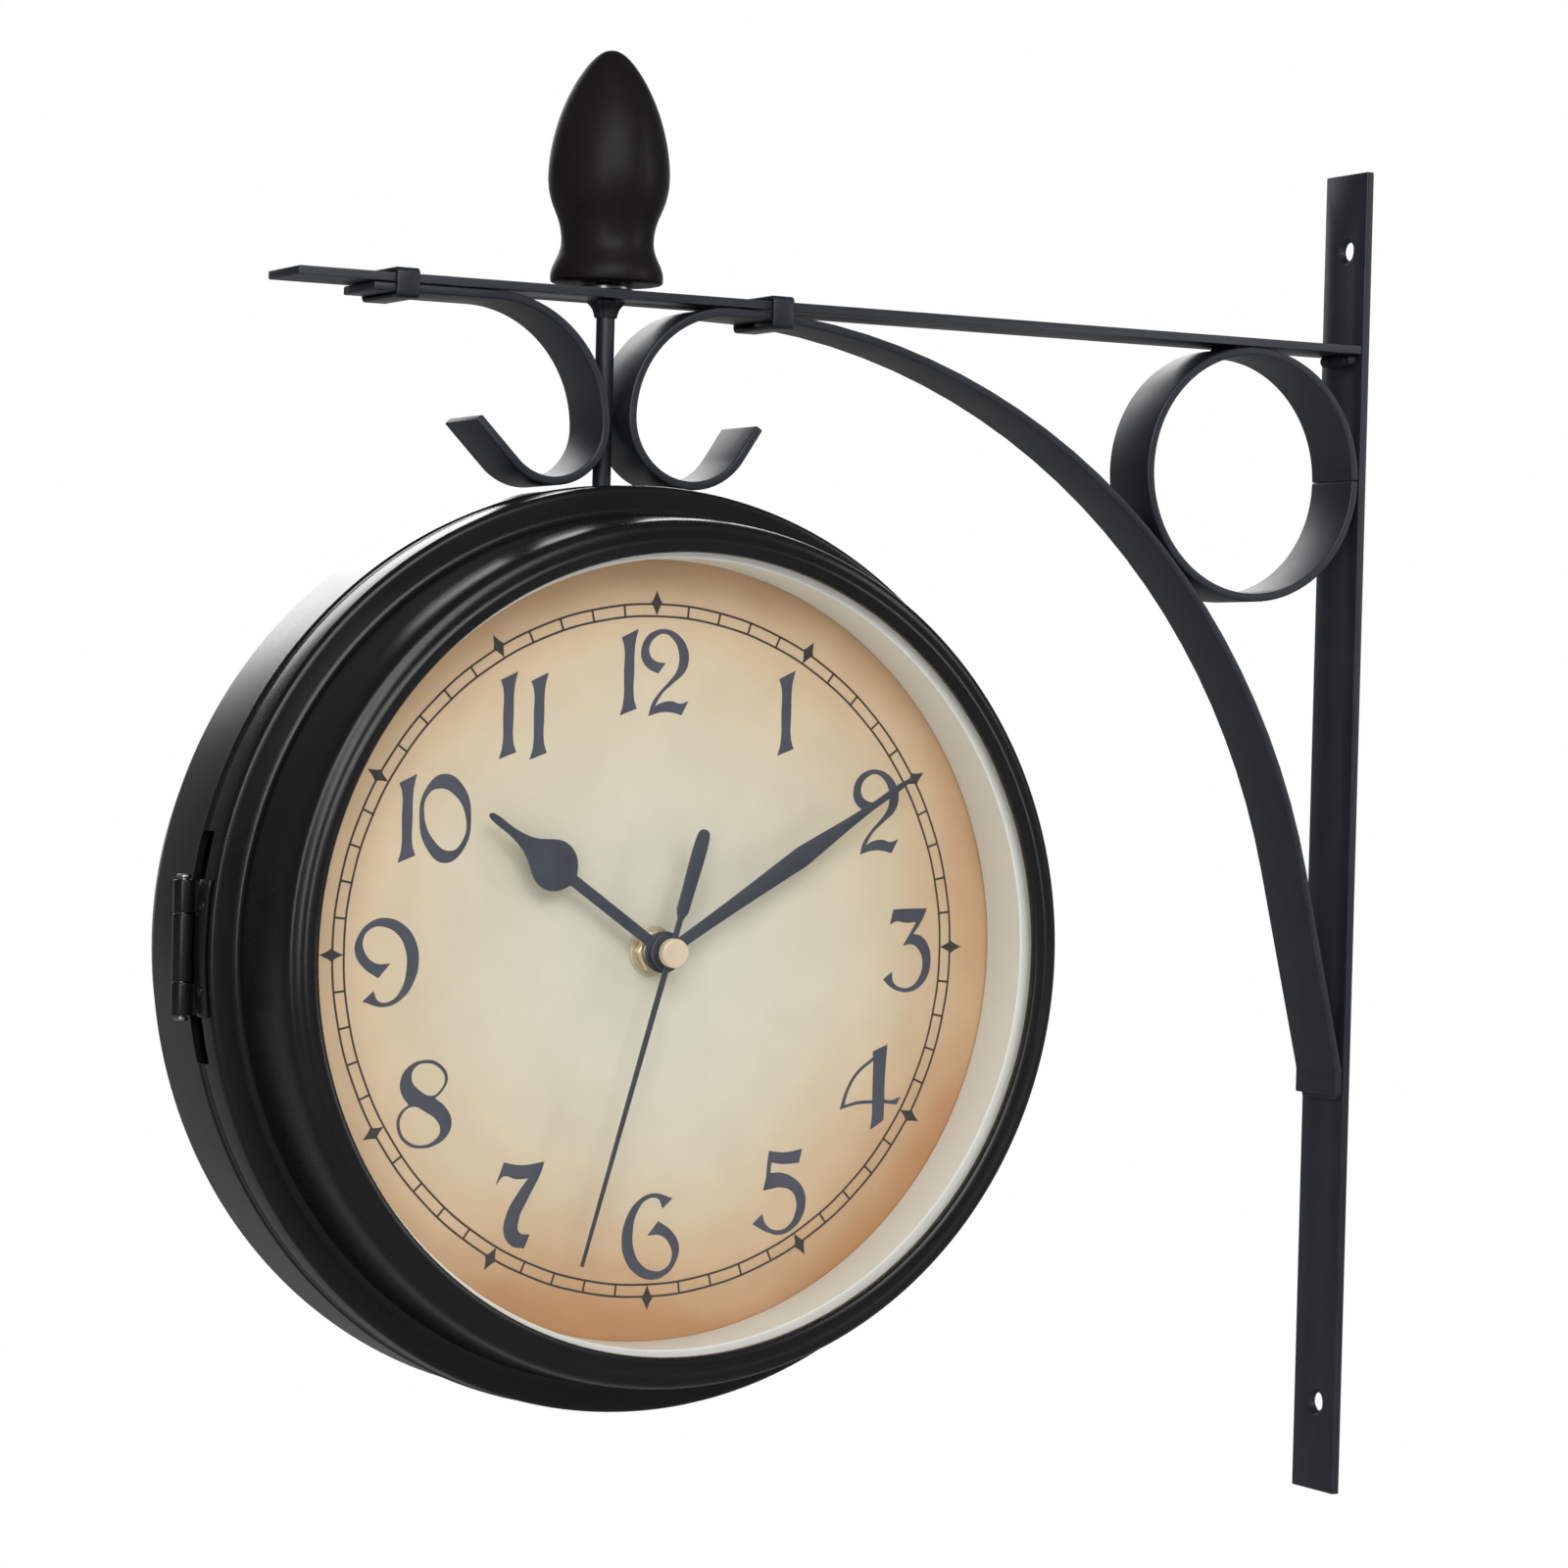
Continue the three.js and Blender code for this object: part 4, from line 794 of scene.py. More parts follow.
fit(finial, "finial_vase", "bracket", "finial_wood", lacquer, "finial")

# ---------------------------------------------------------------------------------------------
# Casing. Two spun sheet steel halves, alike: a flange wall, a step, a drum that narrows a little
# and a rolled lip round the opening. The fixed half has a raised bead by the seam. Both are
# cleared at nine o'clock round the hinge. Sprayed a smoother, glossier black than the bracket.

case_centre = Vector((-0.240, -0.011, -0.0322))
side_place = {"front": Matrix.Translation(case_centre),
              "rear": Matrix.Translation(case_centre) @ Matrix.Rotation(math.pi, 4, "Z")}
side_body = {"front": "door", "rear": "case"}
case_steps = 240
seam_depth = 9.5
notch_reach = 3.4
notch_length = 58
case_coat = surface_finish("casing_coat", as_seen(14, 14, 15), as_seen(22, 22, 23), 0.24, 0.32, 26, 1300, 0.00001,
                           worn_and_highlit=as_seen(46, 48, 52), wear_and_highlight=0.05)
case_coat.node_tree.nodes["Principled BSDF"].inputs["Specular IOR Level"].default_value = 0.4


def case_half(edge, bead):
    flange = 120
    outside = [
        (flange, edge, 0.3), *bead, (flange, 19.95, 1.9), (113.4, 19.9, 0.9), (112.2, 20.7, 0.7),
        (111.0, 42.3, 5), (109.9, 45.6, 1.8), (107.4, 46.3, 1.2), (105.9, 47.7, 1.2), (104.2, 47.95, 0.9),
        (102.2, 47.3, 0.9)]
    inside = [
        (102.2, 45.2, 0.4), (107.2, 45.0, 0.6), (109.3, 43.2, 1.2), (110.7, 21.6, 1.0), (112.2, 17.7, 1.2),
        (118.0, 17.6, 1.2), (118.7, 16.4, 0.8), (118.7, edge, 0.3)]
    return on_lathe(outside + inside, case_steps, lying=True)


def hinge_clearance(half, faces):
    """Takes the slot for the hinge's barrel out of a half's edge."""
    slot = begin(bpy.ops.mesh.primitive_cube_add, size=1, location=(-0.1197, -seam_depth / 1000, 0),
                 scale=(0.0125, 2 * notch_reach / 1000, notch_length / 1000))
    settle(slot)
    dress_edges(slot, 0.0012, 4)
    slot.data.transform(Matrix.Rotation(faces, 4, "Z"))
    take_away(half, slot)
    bpy.ops.object.shade_smooth_by_angle(angle=math.radians(30))


door_half = case_half(seam_depth + 0.15, [])
hinge_clearance(door_half, 0)
move_to(door_half, side_place["front"])
fit(door_half, "door_half_shell", "door", "case_steel", case_coat, "front_case")

bead_outline = [(120, -7.4, 0.2), (120.45, -6.7, 0.3), (120.45, -5.3, 0.3), (120, -4.6, 0.2)]
fixed_half = case_half(-seam_depth + 0.15, bead_outline)
fixed_half.data.transform(Matrix.Rotation(math.pi, 4, "Z"))
hinge_clearance(fixed_half, 0)
rod_drill = begin(bpy.ops.mesh.primitive_cylinder_add, vertices=48, radius=rod_radius + rod_clearance, depth=0.03,
                  location=(0, 0.011, 0.118))
take_away(fixed_half, rod_drill)
bpy.ops.object.shade_smooth_by_angle(angle=math.radians(30))
move_to(fixed_half, side_place["front"])
fit(fixed_half, "fixed_half_shell", "case", "case_steel", case_coat, "rear_case")

# ---------------------------------------------------------------------------------------------
# Hinge and catch. A small butt hinge: two pressed leaves riveted to the flanges, their knuckles
# on a pin with headed ends. At three o'clock a bar magnet pulls a plated keeper on the door.

hinge_axis = Vector((-122.9, -seam_depth, 0))
leaf_inner = 120.3
leaf_thick = 0.9
hinge_length = 34
knuckle_ends = (-0.5, -0.25, 0.25, 0.5)


def curved_leaf(side):
    """The leaf's plate, rolled to the flange, from the barrel outwards. side is +1 for the door's."""
    half_turn = math.asin(hinge_length / 2 / leaf_inner)
    near, far = 2.9, 9.4
    low = -seam_depth - side * near
    high = -seam_depth - side * far
    plate = begin(bpy.ops.mesh.primitive_plane_add, size=1,
                  location=Vector((-leaf_inner - leaf_thick / 2, (low + high) / 2, 0)) / 1000,
                  rotation=(0, 0, 0))
    plate.scale = (leaf_thick / 1000, abs(high - low) / 1000, 1)
    bpy.ops.object.transform_apply(location=True, rotation=True, scale=True)
    plate.data.transform(Matrix.Rotation(-half_turn, 4, (0, 1, 0)))
    bpy.ops.object.mode_set(mode="EDIT")
    bpy.ops.mesh.select_all(action="SELECT")
    bpy.ops.mesh.spin(steps=12, angle=2 * half_turn, center=(0, 0, 0), axis=(0, -1, 0))
    bpy.ops.object.mode_set(mode="OBJECT")
    settle(plate)
    return plate


def knuckle(low, high, side):
    """One rolled knuckle round the pin and the web that joins it to its leaf."""
    roll = on_lathe([(1.5, low, 0.1), (2.6, low, 0.35), (2.6, high, 0.35), (1.5, high, 0.1)], 40)
    move_to(roll, hinge_axis / 1000)
    web = begin(bpy.ops.mesh.primitive_cube_add, size=1,
                location=Vector((-leaf_inner - leaf_thick / 2, -seam_depth - side * 2.0, (low + high) / 2)) / 1000,
                scale=Vector((leaf_thick, 3.0, high - low - 0.5)) / 1000)
    settle(web)
    return [roll, web]


def rivet(side, height):
    """A domed rivet head on the leaf."""
    head = on_lathe([(0, -0.2), (1.45, -0.2), (1.5, 0.15, 0.2), (1.1, 0.6, 0.4), (0, 0.75)], 28)
    lean = math.asin(height / leaf_inner)
    spot = Matrix.Rotation(lean, 4, (0, 1, 0)) @ Matrix.Translation((-(leaf_inner + leaf_thick) / 1000,
                                                                   -(seam_depth + side * 6.6) / 1000, 0))
    move_to(head, spot @ Matrix.Rotation(-math.pi / 2, 4, (0, 1, 0)))
    return head


def joined(pieces):
    bpy.ops.object.select_all(action="DESELECT")
    for piece in pieces:
        piece.select_set(True)
    bpy.context.view_layer.objects.active = pieces[0]
    bpy.ops.object.join()
    return bpy.context.object


for side, knuckles, node, body in ((1, (0, 2), "hinge_leaf_door", "door"), (-1, (1,), "hinge_leaf_case", "case")):
    parts = [curved_leaf(side)]
    dress_edges(parts[0], 0.0003, 2, 50)
    for i in knuckles:
        low = hinge_length * knuckle_ends[i] + 0.15
        high = hinge_length * knuckle_ends[i + 1] - 0.15
        parts += knuckle(low, high, side)
    parts += [rivet(side, 10.5), rivet(side, -10.5)]
    leaf = joined(parts)
    move_to(leaf, side_place["front"])
    fit(leaf, node + "_pressing", body, "case_steel", case_coat, node)

pin_low, pin_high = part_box("hinge_pin")
pin_reach = (pin_high.z - pin_low.z) * 500
pin = on_lathe([(0, -pin_reach), (1.8, -pin_reach, 0.5), (1.8, -pin_reach + 0.9, 0.2), (1.2, -pin_reach + 0.9),
                (1.2, pin_reach - 0.9), (1.8, pin_reach - 0.9, 0.2), (1.8, pin_reach, 0.5), (0, pin_reach)], 32)
move_to(pin, (pin_low + pin_high) / 2)
fit(pin, "hinge_pin_headed", frame["nodes"]["hinge_pin"]["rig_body"], "zinc", zinc, "hinge_pin")

moulded_black = surface_finish("moulded_black", as_seen(28, 29, 31), as_seen(44, 45, 47), 0.42, 0.6, 70, 2600,
                               0.00006, worn_and_highlit=as_seen(78, 79, 82), wear_and_highlight=0.4)


def finer_copy(node, name, slot, finish, edge):
    """A node's own shape with its corners rounded, in its place."""
    bpy.ops.object.select_all(action="DESELECT")
    piece = frame["nodes"][node].copy()
    piece.data = frame["nodes"][node].data.copy()
    for key in list(piece.keys()):
        if key.startswith("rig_"):
            del piece[key]
    piece.parent = None
    bpy.context.scene.collection.objects.link(piece)
    select_only(piece)
    bpy.ops.object.mode_set(mode="EDIT")
    bpy.ops.mesh.select_all(action="SELECT")
    bpy.ops.mesh.remove_doubles(threshold=0.000002)
    bpy.ops.mesh.dissolve_limited(angle_limit=math.radians(1))
    bpy.ops.object.mode_set(mode="OBJECT")
    dress_edges(piece, edge, 2, 50)
    fit(piece, name, frame["nodes"][node]["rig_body"], slot, finish, node)
    return piece


finer_copy("catch_magnet", "catch_magnet_block", "black_plastic", moulded_black, 0.0005)
finer_copy("catch_plate", "catch_keeper", "zinc", zinc, 0.0003)

# ---------------------------------------------------------------------------------------------
# Glass and the rings that hold it, on each side. Two millimetre float glass rests on the lip; an
# ivory moulded ring keeps it off the dial; a plated ring behind the dial closes the stack.

ivory = surface_finish("ivory_ring", as_seen(222, 222, 214), as_seen(232, 232, 225), 0.42, 0.6, 18, 1500, 0.00004)

clear_glass = bpy.data.materials.new("clear_glass")
clear_glass.use_nodes = True
tree = clear_glass.node_tree
shader = tree.nodes["Principled BSDF"]
shader.inputs["Metallic"].default_value = 1.0
bend = add_node(tree, "ShaderNodeFresnel", IOR=1.45)
side_seen = tree.nodes.new("ShaderNodeNewGeometry")
outer_face = add_node(tree, "ShaderNodeMath", operation="SUBTRACT")
outer_face.inputs[0].default_value = 1
shine = add_node(tree, "ShaderNodeMath", operation="MULTIPLY")
marks = add_node(tree, "ShaderNodeGroup", node_tree=speckle)
marks.inputs["Blotch Scale"].default_value = 22
tint = add_node(tree, "ShaderNodeMix", data_type="RGBA")
tint.inputs["A"].default_value = as_seen(232, 240, 240)
tint.inputs["B"].default_value = as_seen(246, 250, 250)
polish = tree.nodes.new("ShaderNodeMapRange")
polish.inputs["To Min"].default_value = 0.015
polish.inputs["To Max"].default_value = 0.05
tree.links.new(marks.outputs["Blotch"], tint.inputs["Factor"])
tree.links.new(marks.outputs["Blotch"], polish.inputs["Value"])
tree.links.new(tint.outputs["Result"], shader.inputs["Base Color"])
tree.links.new(polish.outputs[0], shader.inputs["Roughness"])
tree.links.new(side_seen.outputs["Backfacing"], outer_face.inputs[1])
tree.links.new(bend.outputs[0], shine.inputs[0])
tree.links.new(outer_face.outputs[0], shine.inputs[1])
tree.links.new(shine.outputs[0], shader.inputs["Alpha"])

glass_radius = 106.2
for side, place in side_place.items():
    body = side_body[side]
    pane = on_lathe([(0, 42.7), (glass_radius, 42.7, 0.4), (glass_radius, 44.7, 0.4), (0, 44.7)], 192, lying=True)
    fit(move_to(pane, place), f"glass_pane_{side}", body, "glass", clear_glass, f"glass_{side}")
    spacer = on_lathe([(100.8, 25.3, 0.3), (glass_radius, 25.3, 0.3), (glass_radius, 42.4, 0.3), (100.8, 42.4, 0.5)],
                      case_steps, lying=True)
    fit(move_to(spacer, place), f"spacer_band_{side}", body, "ivory_ring", ivory, f"spacer_ring_{side}")
    retainer = on_lathe([(97, 22.7, 0.3), (110.2, 22.7, 0.3), (110.2, 23.7, 0.3), (97, 23.7, 0.3)], 160, lying=True)
    fit(move_to(retainer, place), f"retainer_band_{side}", body, "zinc", zinc, f"retainer_{side}")

# ---------------------------------------------------------------------------------------------
# Dials. Printed card in the style of an old enamel dial: cream in the middle, browned towards the
# rim, more so low on the right and low on the left, with a few specks and clouds.

dial_depth = 25
board_grey = as_seen(176, 172, 162)
ramp_share = 0.8
dial_colours = ((0.0, as_seen(208, 206, 188)), (0.34, as_seen(208, 204, 184)), (0.58, as_seen(208, 198, 173)),
                (0.74, as_seen(207, 190, 160)), (0.88, as_seen(204, 178, 144)), (1.0, as_seen(196, 161, 124)),
                (1.12, as_seen(184, 139, 96)), (1.25, as_seen(170, 120, 76)))


def aged_card(name, centre, turned_about):
    """The dial's card, with its pattern centred on the dial at centre."""
    card = bpy.data.materials.new(name)
    card.use_nodes = True
    tree = card.node_tree
    shader = tree.nodes["Principled BSDF"]
    place = tree.nodes.new("ShaderNodeTexCoord")
    spot = add_node(tree, "ShaderNodeMapping", vector_type="TEXTURE")
    spot.inputs["Location"].default_value = centre
    spot.inputs["Rotation"].default_value = (0, 0, turned_about)
    flat = add_node(tree, "ShaderNodeVectorMath", operation="MULTIPLY")
    flat.inputs[1].default_value = (10, 0, 10)
    outward = add_node(tree, "ShaderNodeVectorMath", operation="LENGTH")
    clouds = add_node(tree, "ShaderNodeTexNoise", Scale=1.9, Detail=5.0, Roughness=0.55)
    cloud_pull = add_node(tree, "ShaderNodeMath", operation="MULTIPLY_ADD")
    cloud_pull.inputs[1].default_value = 0.26
    cloud_pull.inputs[2].default_value = -0.13
    low_right = add_node(tree, "ShaderNodeVectorMath", operation="DISTANCE")
    low_right.inputs[1].default_value = (0.72, 0, -0.66)
    low_left = add_node(tree, "ShaderNodeVectorMath", operation="DISTANCE")
    low_left.inputs[1].default_value = (-0.12, 0, -1.02)
    patches = []
    for near, reach, strength in ((low_right, 0.62, 0.15), (low_left, 0.75, 0.15)):
        patch = add_node(tree, "ShaderNodeMapRange", interpolation_type="SMOOTHSTEP")
        patch.inputs["From Min"].default_value = reach
        patch.inputs["From Max"].default_value = 0.05
        patch.inputs["To Max"].default_value = strength
        tree.links.new(flat.outputs[0], near.inputs[0])
        tree.links.new(near.outputs["Value"], patch.inputs["Value"])
        patches.append(patch)
    sums = [add_node(tree, "ShaderNodeMath", operation="ADD") for _ in range(3)]
    rings = tree.nodes.new("ShaderNodeValToRGB")
    ramp = rings.color_ramp
    ramp.interpolation = "EASE"
    while len(ramp.elements) < len(dial_colours):
        ramp.elements.new(0.5)
    for element, (position, colour) in zip(ramp.elements, dial_colours):
        element.position = position * ramp_share
        element.color = colour
    marks = add_node(tree, "ShaderNodeGroup", node_tree=speckle)
    marks.inputs["Blotch Scale"].default_value = 55
    marks.inputs["Grain Scale"].default_value = 2200
    mottle = tree.nodes.new("ShaderNodeMapRange")
    mottle.inputs["To Min"].default_value = 0.955
    mottle.inputs["To Max"].default_value = 1.03
    aged = add_node(tree, "ShaderNodeVectorMath", operation="SCALE")
    specks = add_node(tree, "ShaderNodeTexVoronoi", Scale=3.1)
    speck = tree.nodes.new("ShaderNodeMapRange")
    speck.inputs["From Min"].default_value = 0.022
    speck.inputs["From Max"].default_value = 0.012
    speck.inputs["To Max"].default_value = 0.75
    spotted = add_node(tree, "ShaderNodeMix", data_type="RGBA")
    spotted.inputs["B"].default_value = as_seen(110, 86, 60)
    relief = add_node(tree, "ShaderNodeBump", Strength=0.3, Distance=0.00003)
    shader.inputs["Roughness"].default_value = 0.72
    gloss = tree.nodes.new("ShaderNodeMapRange")
    gloss.inputs["To Min"].default_value = 0.62
    gloss.inputs["To Max"].default_value = 0.8
    tree.links.new(place.outputs["Object"], spot.inputs["Vector"])
    tree.links.new(spot.outputs[0], flat.inputs[0])
    tree.links.new(flat.outputs[0], outward.inputs[0])
    tree.links.new(flat.outputs[0], clouds.inputs["Vector"])
    tree.links.new(flat.outputs[0], specks.inputs["Vector"])
    tree.links.new(clouds.outputs["Fac"], cloud_pull.inputs[0])
    tree.links.new(outward.outputs["Value"], sums[0].inputs[0])
    tree.links.new(cloud_pull.outputs[0], sums[0].inputs[1])
    tree.links.new(sums[0].outputs[0], sums[1].inputs[0])
    tree.links.new(patches[0].outputs[0], sums[1].inputs[1])
    tree.links.new(sums[1].outputs[0], sums[2].inputs[0])
    tree.links.new(patches[1].outputs[0], sums[2].inputs[1])
    shrunk = add_node(tree, "ShaderNodeMath", operation="MULTIPLY")
    shrunk.inputs[1].default_value = ramp_share
    tree.links.new(sums[2].outputs[0], shrunk.inputs[0])
    tree.links.new(shrunk.outputs[0], rings.inputs["Fac"])
    tree.links.new(rings.outputs["Color"], aged.inputs[0])
    tree.links.new(marks.outputs["Blotch"], mottle.inputs["Value"])
    tree.links.new(mottle.outputs[0], aged.inputs["Scale"])
    tree.links.new(specks.outputs["Distance"], speck.inputs["Value"])
    tree.links.new(speck.outputs[0], spotted.inputs["Factor"])
    tree.links.new(aged.outputs[0], spotted.inputs["A"])
    parts = tree.nodes.new("ShaderNodeSeparateXYZ")
    printed = add_node(tree, "ShaderNodeMath", operation="LESS_THAN")
    printed.inputs[1].default_value = -(dial_depth - 0.5) / 1000
    faced = add_node(tree, "ShaderNodeMix", data_type="RGBA")
    faced.inputs["A"].default_value = board_grey
    tree.links.new(spot.outputs[0], parts.inputs[0])
    tree.links.new(parts.outputs["Y"], printed.inputs[0])
    tree.links.new(printed.outputs[0], faced.inputs["Factor"])
    tree.links.new(spotted.outputs["Result"], faced.inputs["B"])
    tree.links.new(faced.outputs["Result"], shader.inputs["Base Color"])
    tree.links.new(marks.outputs["Grain"], gloss.inputs["Value"])
    tree.links.new(gloss.outputs[0], shader.inputs["Roughness"])
    tree.links.new(marks.outputs["Height"], relief.inputs["Height"])
    tree.links.new(relief.outputs[0], shader.inputs["Normal"])
    return card


for side, place in side_place.items():
    card = on_lathe([(4.3, 24, 0.1), (106.2, 24, 0.1), (106.2, dial_depth, 0.2), (4.3, dial_depth, 0.1)], 192, lying=True)
    finish = aged_card(f"aged_card_{side}", case_centre, 0 if side == "front" else math.pi)
    fit(move_to(card, place), f"dial_card_{side}", side_body[side], "dial_card", finish, f"dial_{side}")

# ---------------------------------------------------------------------------------------------
# Printing on the dials. Slate ink: a double track with sixty bars, a pointed lozenge at each hour,
# and tall, waisted numerals with one heavy and one fine side, all upright.

ink = surface_finish("slate_ink", as_seen(60, 64, 75), as_seen(78, 82, 94), 0.5, 0.66, 120, 1800, 0.00002)
ink_line = surface_finish("line_ink", as_seen(46, 43, 43), as_seen(66, 62, 60), 0.5, 0.66, 120, 1800, 0.00002)
ink_thick = 0.04
ink_spread = 0.1
track_outer = 89.3
track_inner = 86.2
track_line_half = 0.28
track_turned = -0.7
numeral_height = 22.3
numeral_widths = {"0": 14.1, "1": 4.7, "2": 13.8, "3": 14.2, "4": 18.2, "5": 15.5, "6": 16.5, "7": 13.2, "8": 15.1,
                  "9": 17.6}
numeral_gaps = {"10": 1.1, "11": 3.9, "12": 1.1}
# Where each numeral's middle stands, right of the dial's centre and above it, in millimetres.
numeral_places = {1: (37.7, 62.3), 2: (65.5, 36.7), 3: (76.3, 0.2), 4: (66.1, -36.1), 5: (39.4, -63.3),
                  6: (1.7, -73.8), 7: (-36.0, -64.8), 8: (-63.2, -38.6), 9: (-74.6, -3.0), 10: (-62.3, 33.3),
                  11: (-38.3, 59.8), 12: (-1.2, 71.7)}

# Outlines drawn in hundredths of the numeral's height. A third value of 0 marks a sharp corner.
numeral_outlines = {
    "0": [[(0, 52), (7, 84), (27, 100), (49, 86), (58, 52), (50, 15), (29, 0), (9, 16)],
          [(4.4, 58), (9, 77), (20, 84), (38, 78), (53, 50), (49, 24), (36, 13), (17, 24)]],
    "1": [[(0.5, 89, 0), (20, 99, 0), (16.6, 83), (16, 50), (16.6, 19), (20, 8, 0), (0.5, 0, 0), (4, 13), (4.3, 50),
           (3.8, 79)]],
    "2": [[(30, 61, 0), (21.5, 49.5, 0), (9, 55), (2, 63), (0, 74), (6, 90), (17, 98), (31, 100), (46, 94), (57, 80),
           (59.5, 66), (55, 52), (41, 39), (27, 26), (17, 9.5, 0), (27, 15), (40, 17), (50, 14.5), (60, 17.5, 0),
           (52, 2, 0), (42, 4.5), (29, 5), (18, 2.5), (11, 0, 0), (15, 14), (24, 27), (36, 40), (44.5, 51), (48, 62),
           (47, 76), (41, 88), (29, 95.5), (17, 91), (10, 81), (11, 69), (19, 62.5)]],
    "3": [[(6.5, 81, 0), (10, 98, 0), (28, 99), (50, 99.5, 0), (44, 85), (34, 69, 0), (43, 67), (53, 55), (56, 37),
           (53, 20), (43, 6), (31, 0.5), (19, 1.5), (8, 7), (0, 15, 0), (9.5, 23.5, 0), (12, 11), (22, 4.7), (33, 6),
           (43, 17), (47, 34), (43, 49), (34, 57), (23, 56, 0), (31, 70), (38.5, 84, 0), (25, 83), (13, 84.5)]],
    "4": [[(53.5, 100, 0), (51.5, 60), (51.5, 35, 0), (59, 33.5), (70.5, 37.5, 0), (66.5, 29, 0), (58, 30),
           (51.5, 31, 0), (51, 10.5, 0), (36.5, 0, 0), (38, 15), (38, 31, 0), (20, 30), (0, 24.5, 0), (5, 43),
           (16.5, 66), (37.5, 85.5, 0), (37, 92, 0)],
          [(38, 82, 0), (20, 66), (9, 46), (4.5, 28.5, 0), (20, 33), (38, 34, 0)]],
    "5": [[(16.5, 98.5, 0), (34, 96.5), (53, 100, 0), (50, 84.5, 0), (33, 83.5), (19, 85.5, 0), (18, 72.5, 0),
           (31, 72.5), (46, 65), (56, 52), (58.5, 38), (55, 20.5), (45, 7), (31, 0.3), (16, 4), (0, 13.5, 0),
           (10, 24, 0), (15.5, 11), (29, 4.8), (41, 11), (48, 26), (48.5, 40), (43, 51), (31, 56), (19, 54.5),
           (11, 53, 0), (14, 68, 0), (15, 85)]],
    "7": [[(0, 75.5, 0), (8, 99, 0), (28, 95.5), (54, 99, 0), (50, 86), (36, 57), (26, 33), (27, 19), (39, 16, 0),
           (33, 1, 0), (19, 4.5), (10, 18), (12.5, 40), (25, 64), (37, 81, 0), (22, 80.5), (8, 84)]],
    "8": [[(30, 99.5), (46, 95.5), (56, 80), (50.5, 65), (42, 56.5, 0), (55, 45), (61.5, 29), (56, 13), (43, 3.5),
           (30, 0.5), (12, 5), (1, 23), (3, 39), (13.5, 49.5, 0), (5.5, 61), (3.5, 76), (11, 91)],
          [(33, 96.5), (46, 91.5), (53.5, 79), (49, 66), (39, 59), (24, 66), (15.5, 78), (19.5, 92)],
          [(17.5, 47.5), (33, 41), (46, 30.5), (49.5, 19), (43, 8.5), (30, 3.2), (13, 8), (3.8, 23), (6, 39)]],
    "9": [[(40, 48.5, 0), (27.5, 33, 0), (11, 44.5), (1, 62), (5, 81), (18, 95.5), (35.5, 99.8), (54.5, 92.5),
           (67.5, 76.5), (72.5, 53.5), (67.5, 28.5), (54.5, 9.5), (35, 0.5), (11, 6.5, 0), (22.5, 17.5, 0),
           (28, 6.5), (42, 6.5), (54, 20), (59.5, 42), (57.5, 66), (48.5, 82), (35, 90), (20, 89.5), (9.5, 77),
           (12, 60.5), (24, 49)]],
}
numeral_outlines["6"] = [[(72.5 - spot[0], 100 - spot[1], *spot[2:]) for spot in numeral_outlines["9"][0]]]


def drawn_flat(outlines, back, front, edge=0.0, smooth=6, swell=0.0):
    """Closed outlines in millimetres, across and up, made solid from back to front of a dial."""
    bpy.ops.object.select_all(action="DESELECT")
    bpy.ops.curve.primitive_bezier_circle_add(radius=0.01)
    drawing = bpy.context.object
    shape = drawing.data
    shape.splines.clear()
    for outline in outlines:
        line = shape.splines.new("BEZIER")
        line.bezier_points.add(len(outline) - 1)
        line.use_cyclic_u = True
        line.resolution_u = smooth
        for knot, spot in zip(line.bezier_points, outline):
            knot.co = (spot[0] / 1000, spot[1] / 1000, 0)
            kind = "VECTOR" if len(spot) > 2 else "AUTO"
            knot.handle_left_type = kind
            knot.handle_right_type = kind
    shape.dimensions = "2D"
    shape.fill_mode = "BOTH"
    shape.extrude = max((front - back) / 2 - edge, 0.001) / 1000
    shape.bevel_depth = edge / 1000
    shape.bevel_resolution = 1
    shape.offset = (swell - edge) / 1000
    bpy.ops.object.convert(target="MESH")
    piece = bpy.context.object
    piece.data.transform(Matrix.Translation((0, -(front + back) / 2000, 0)) @ Matrix.Rotation(math.pi / 2, 4, "X"))
    settle(piece)
    bpy.ops.object.shade_smooth_by_angle(angle=math.radians(30))
    return piece


def numeral_pair(text):
    """The outlines of one or two numerals, centred, in millimetres."""
    gap = numeral_gaps.get(text, 0)
    left = -(sum(numeral_widths[sign] for sign in text) + gap) / 2
    lines = []
    for sign in text:
        drawn_width = max(spot[0] for outline in numeral_outlines[sign] for spot in outline)
        across = numeral_widths[sign] / drawn_width
        for outline in numeral_outlines[sign]:
            lines.append([(left + spot[0] * across, (spot[1] - 50) * numeral_height / 100, *spot[2:])
                          for spot in outline])
        left += numeral_widths[sign] + gap
    return lines


def round_outline(radius, knots=32):
    return [(radius * math.cos(2 * math.pi * i / knots), radius * math.sin(2 * math.pi * i / knots))
            for i in range(knots)]


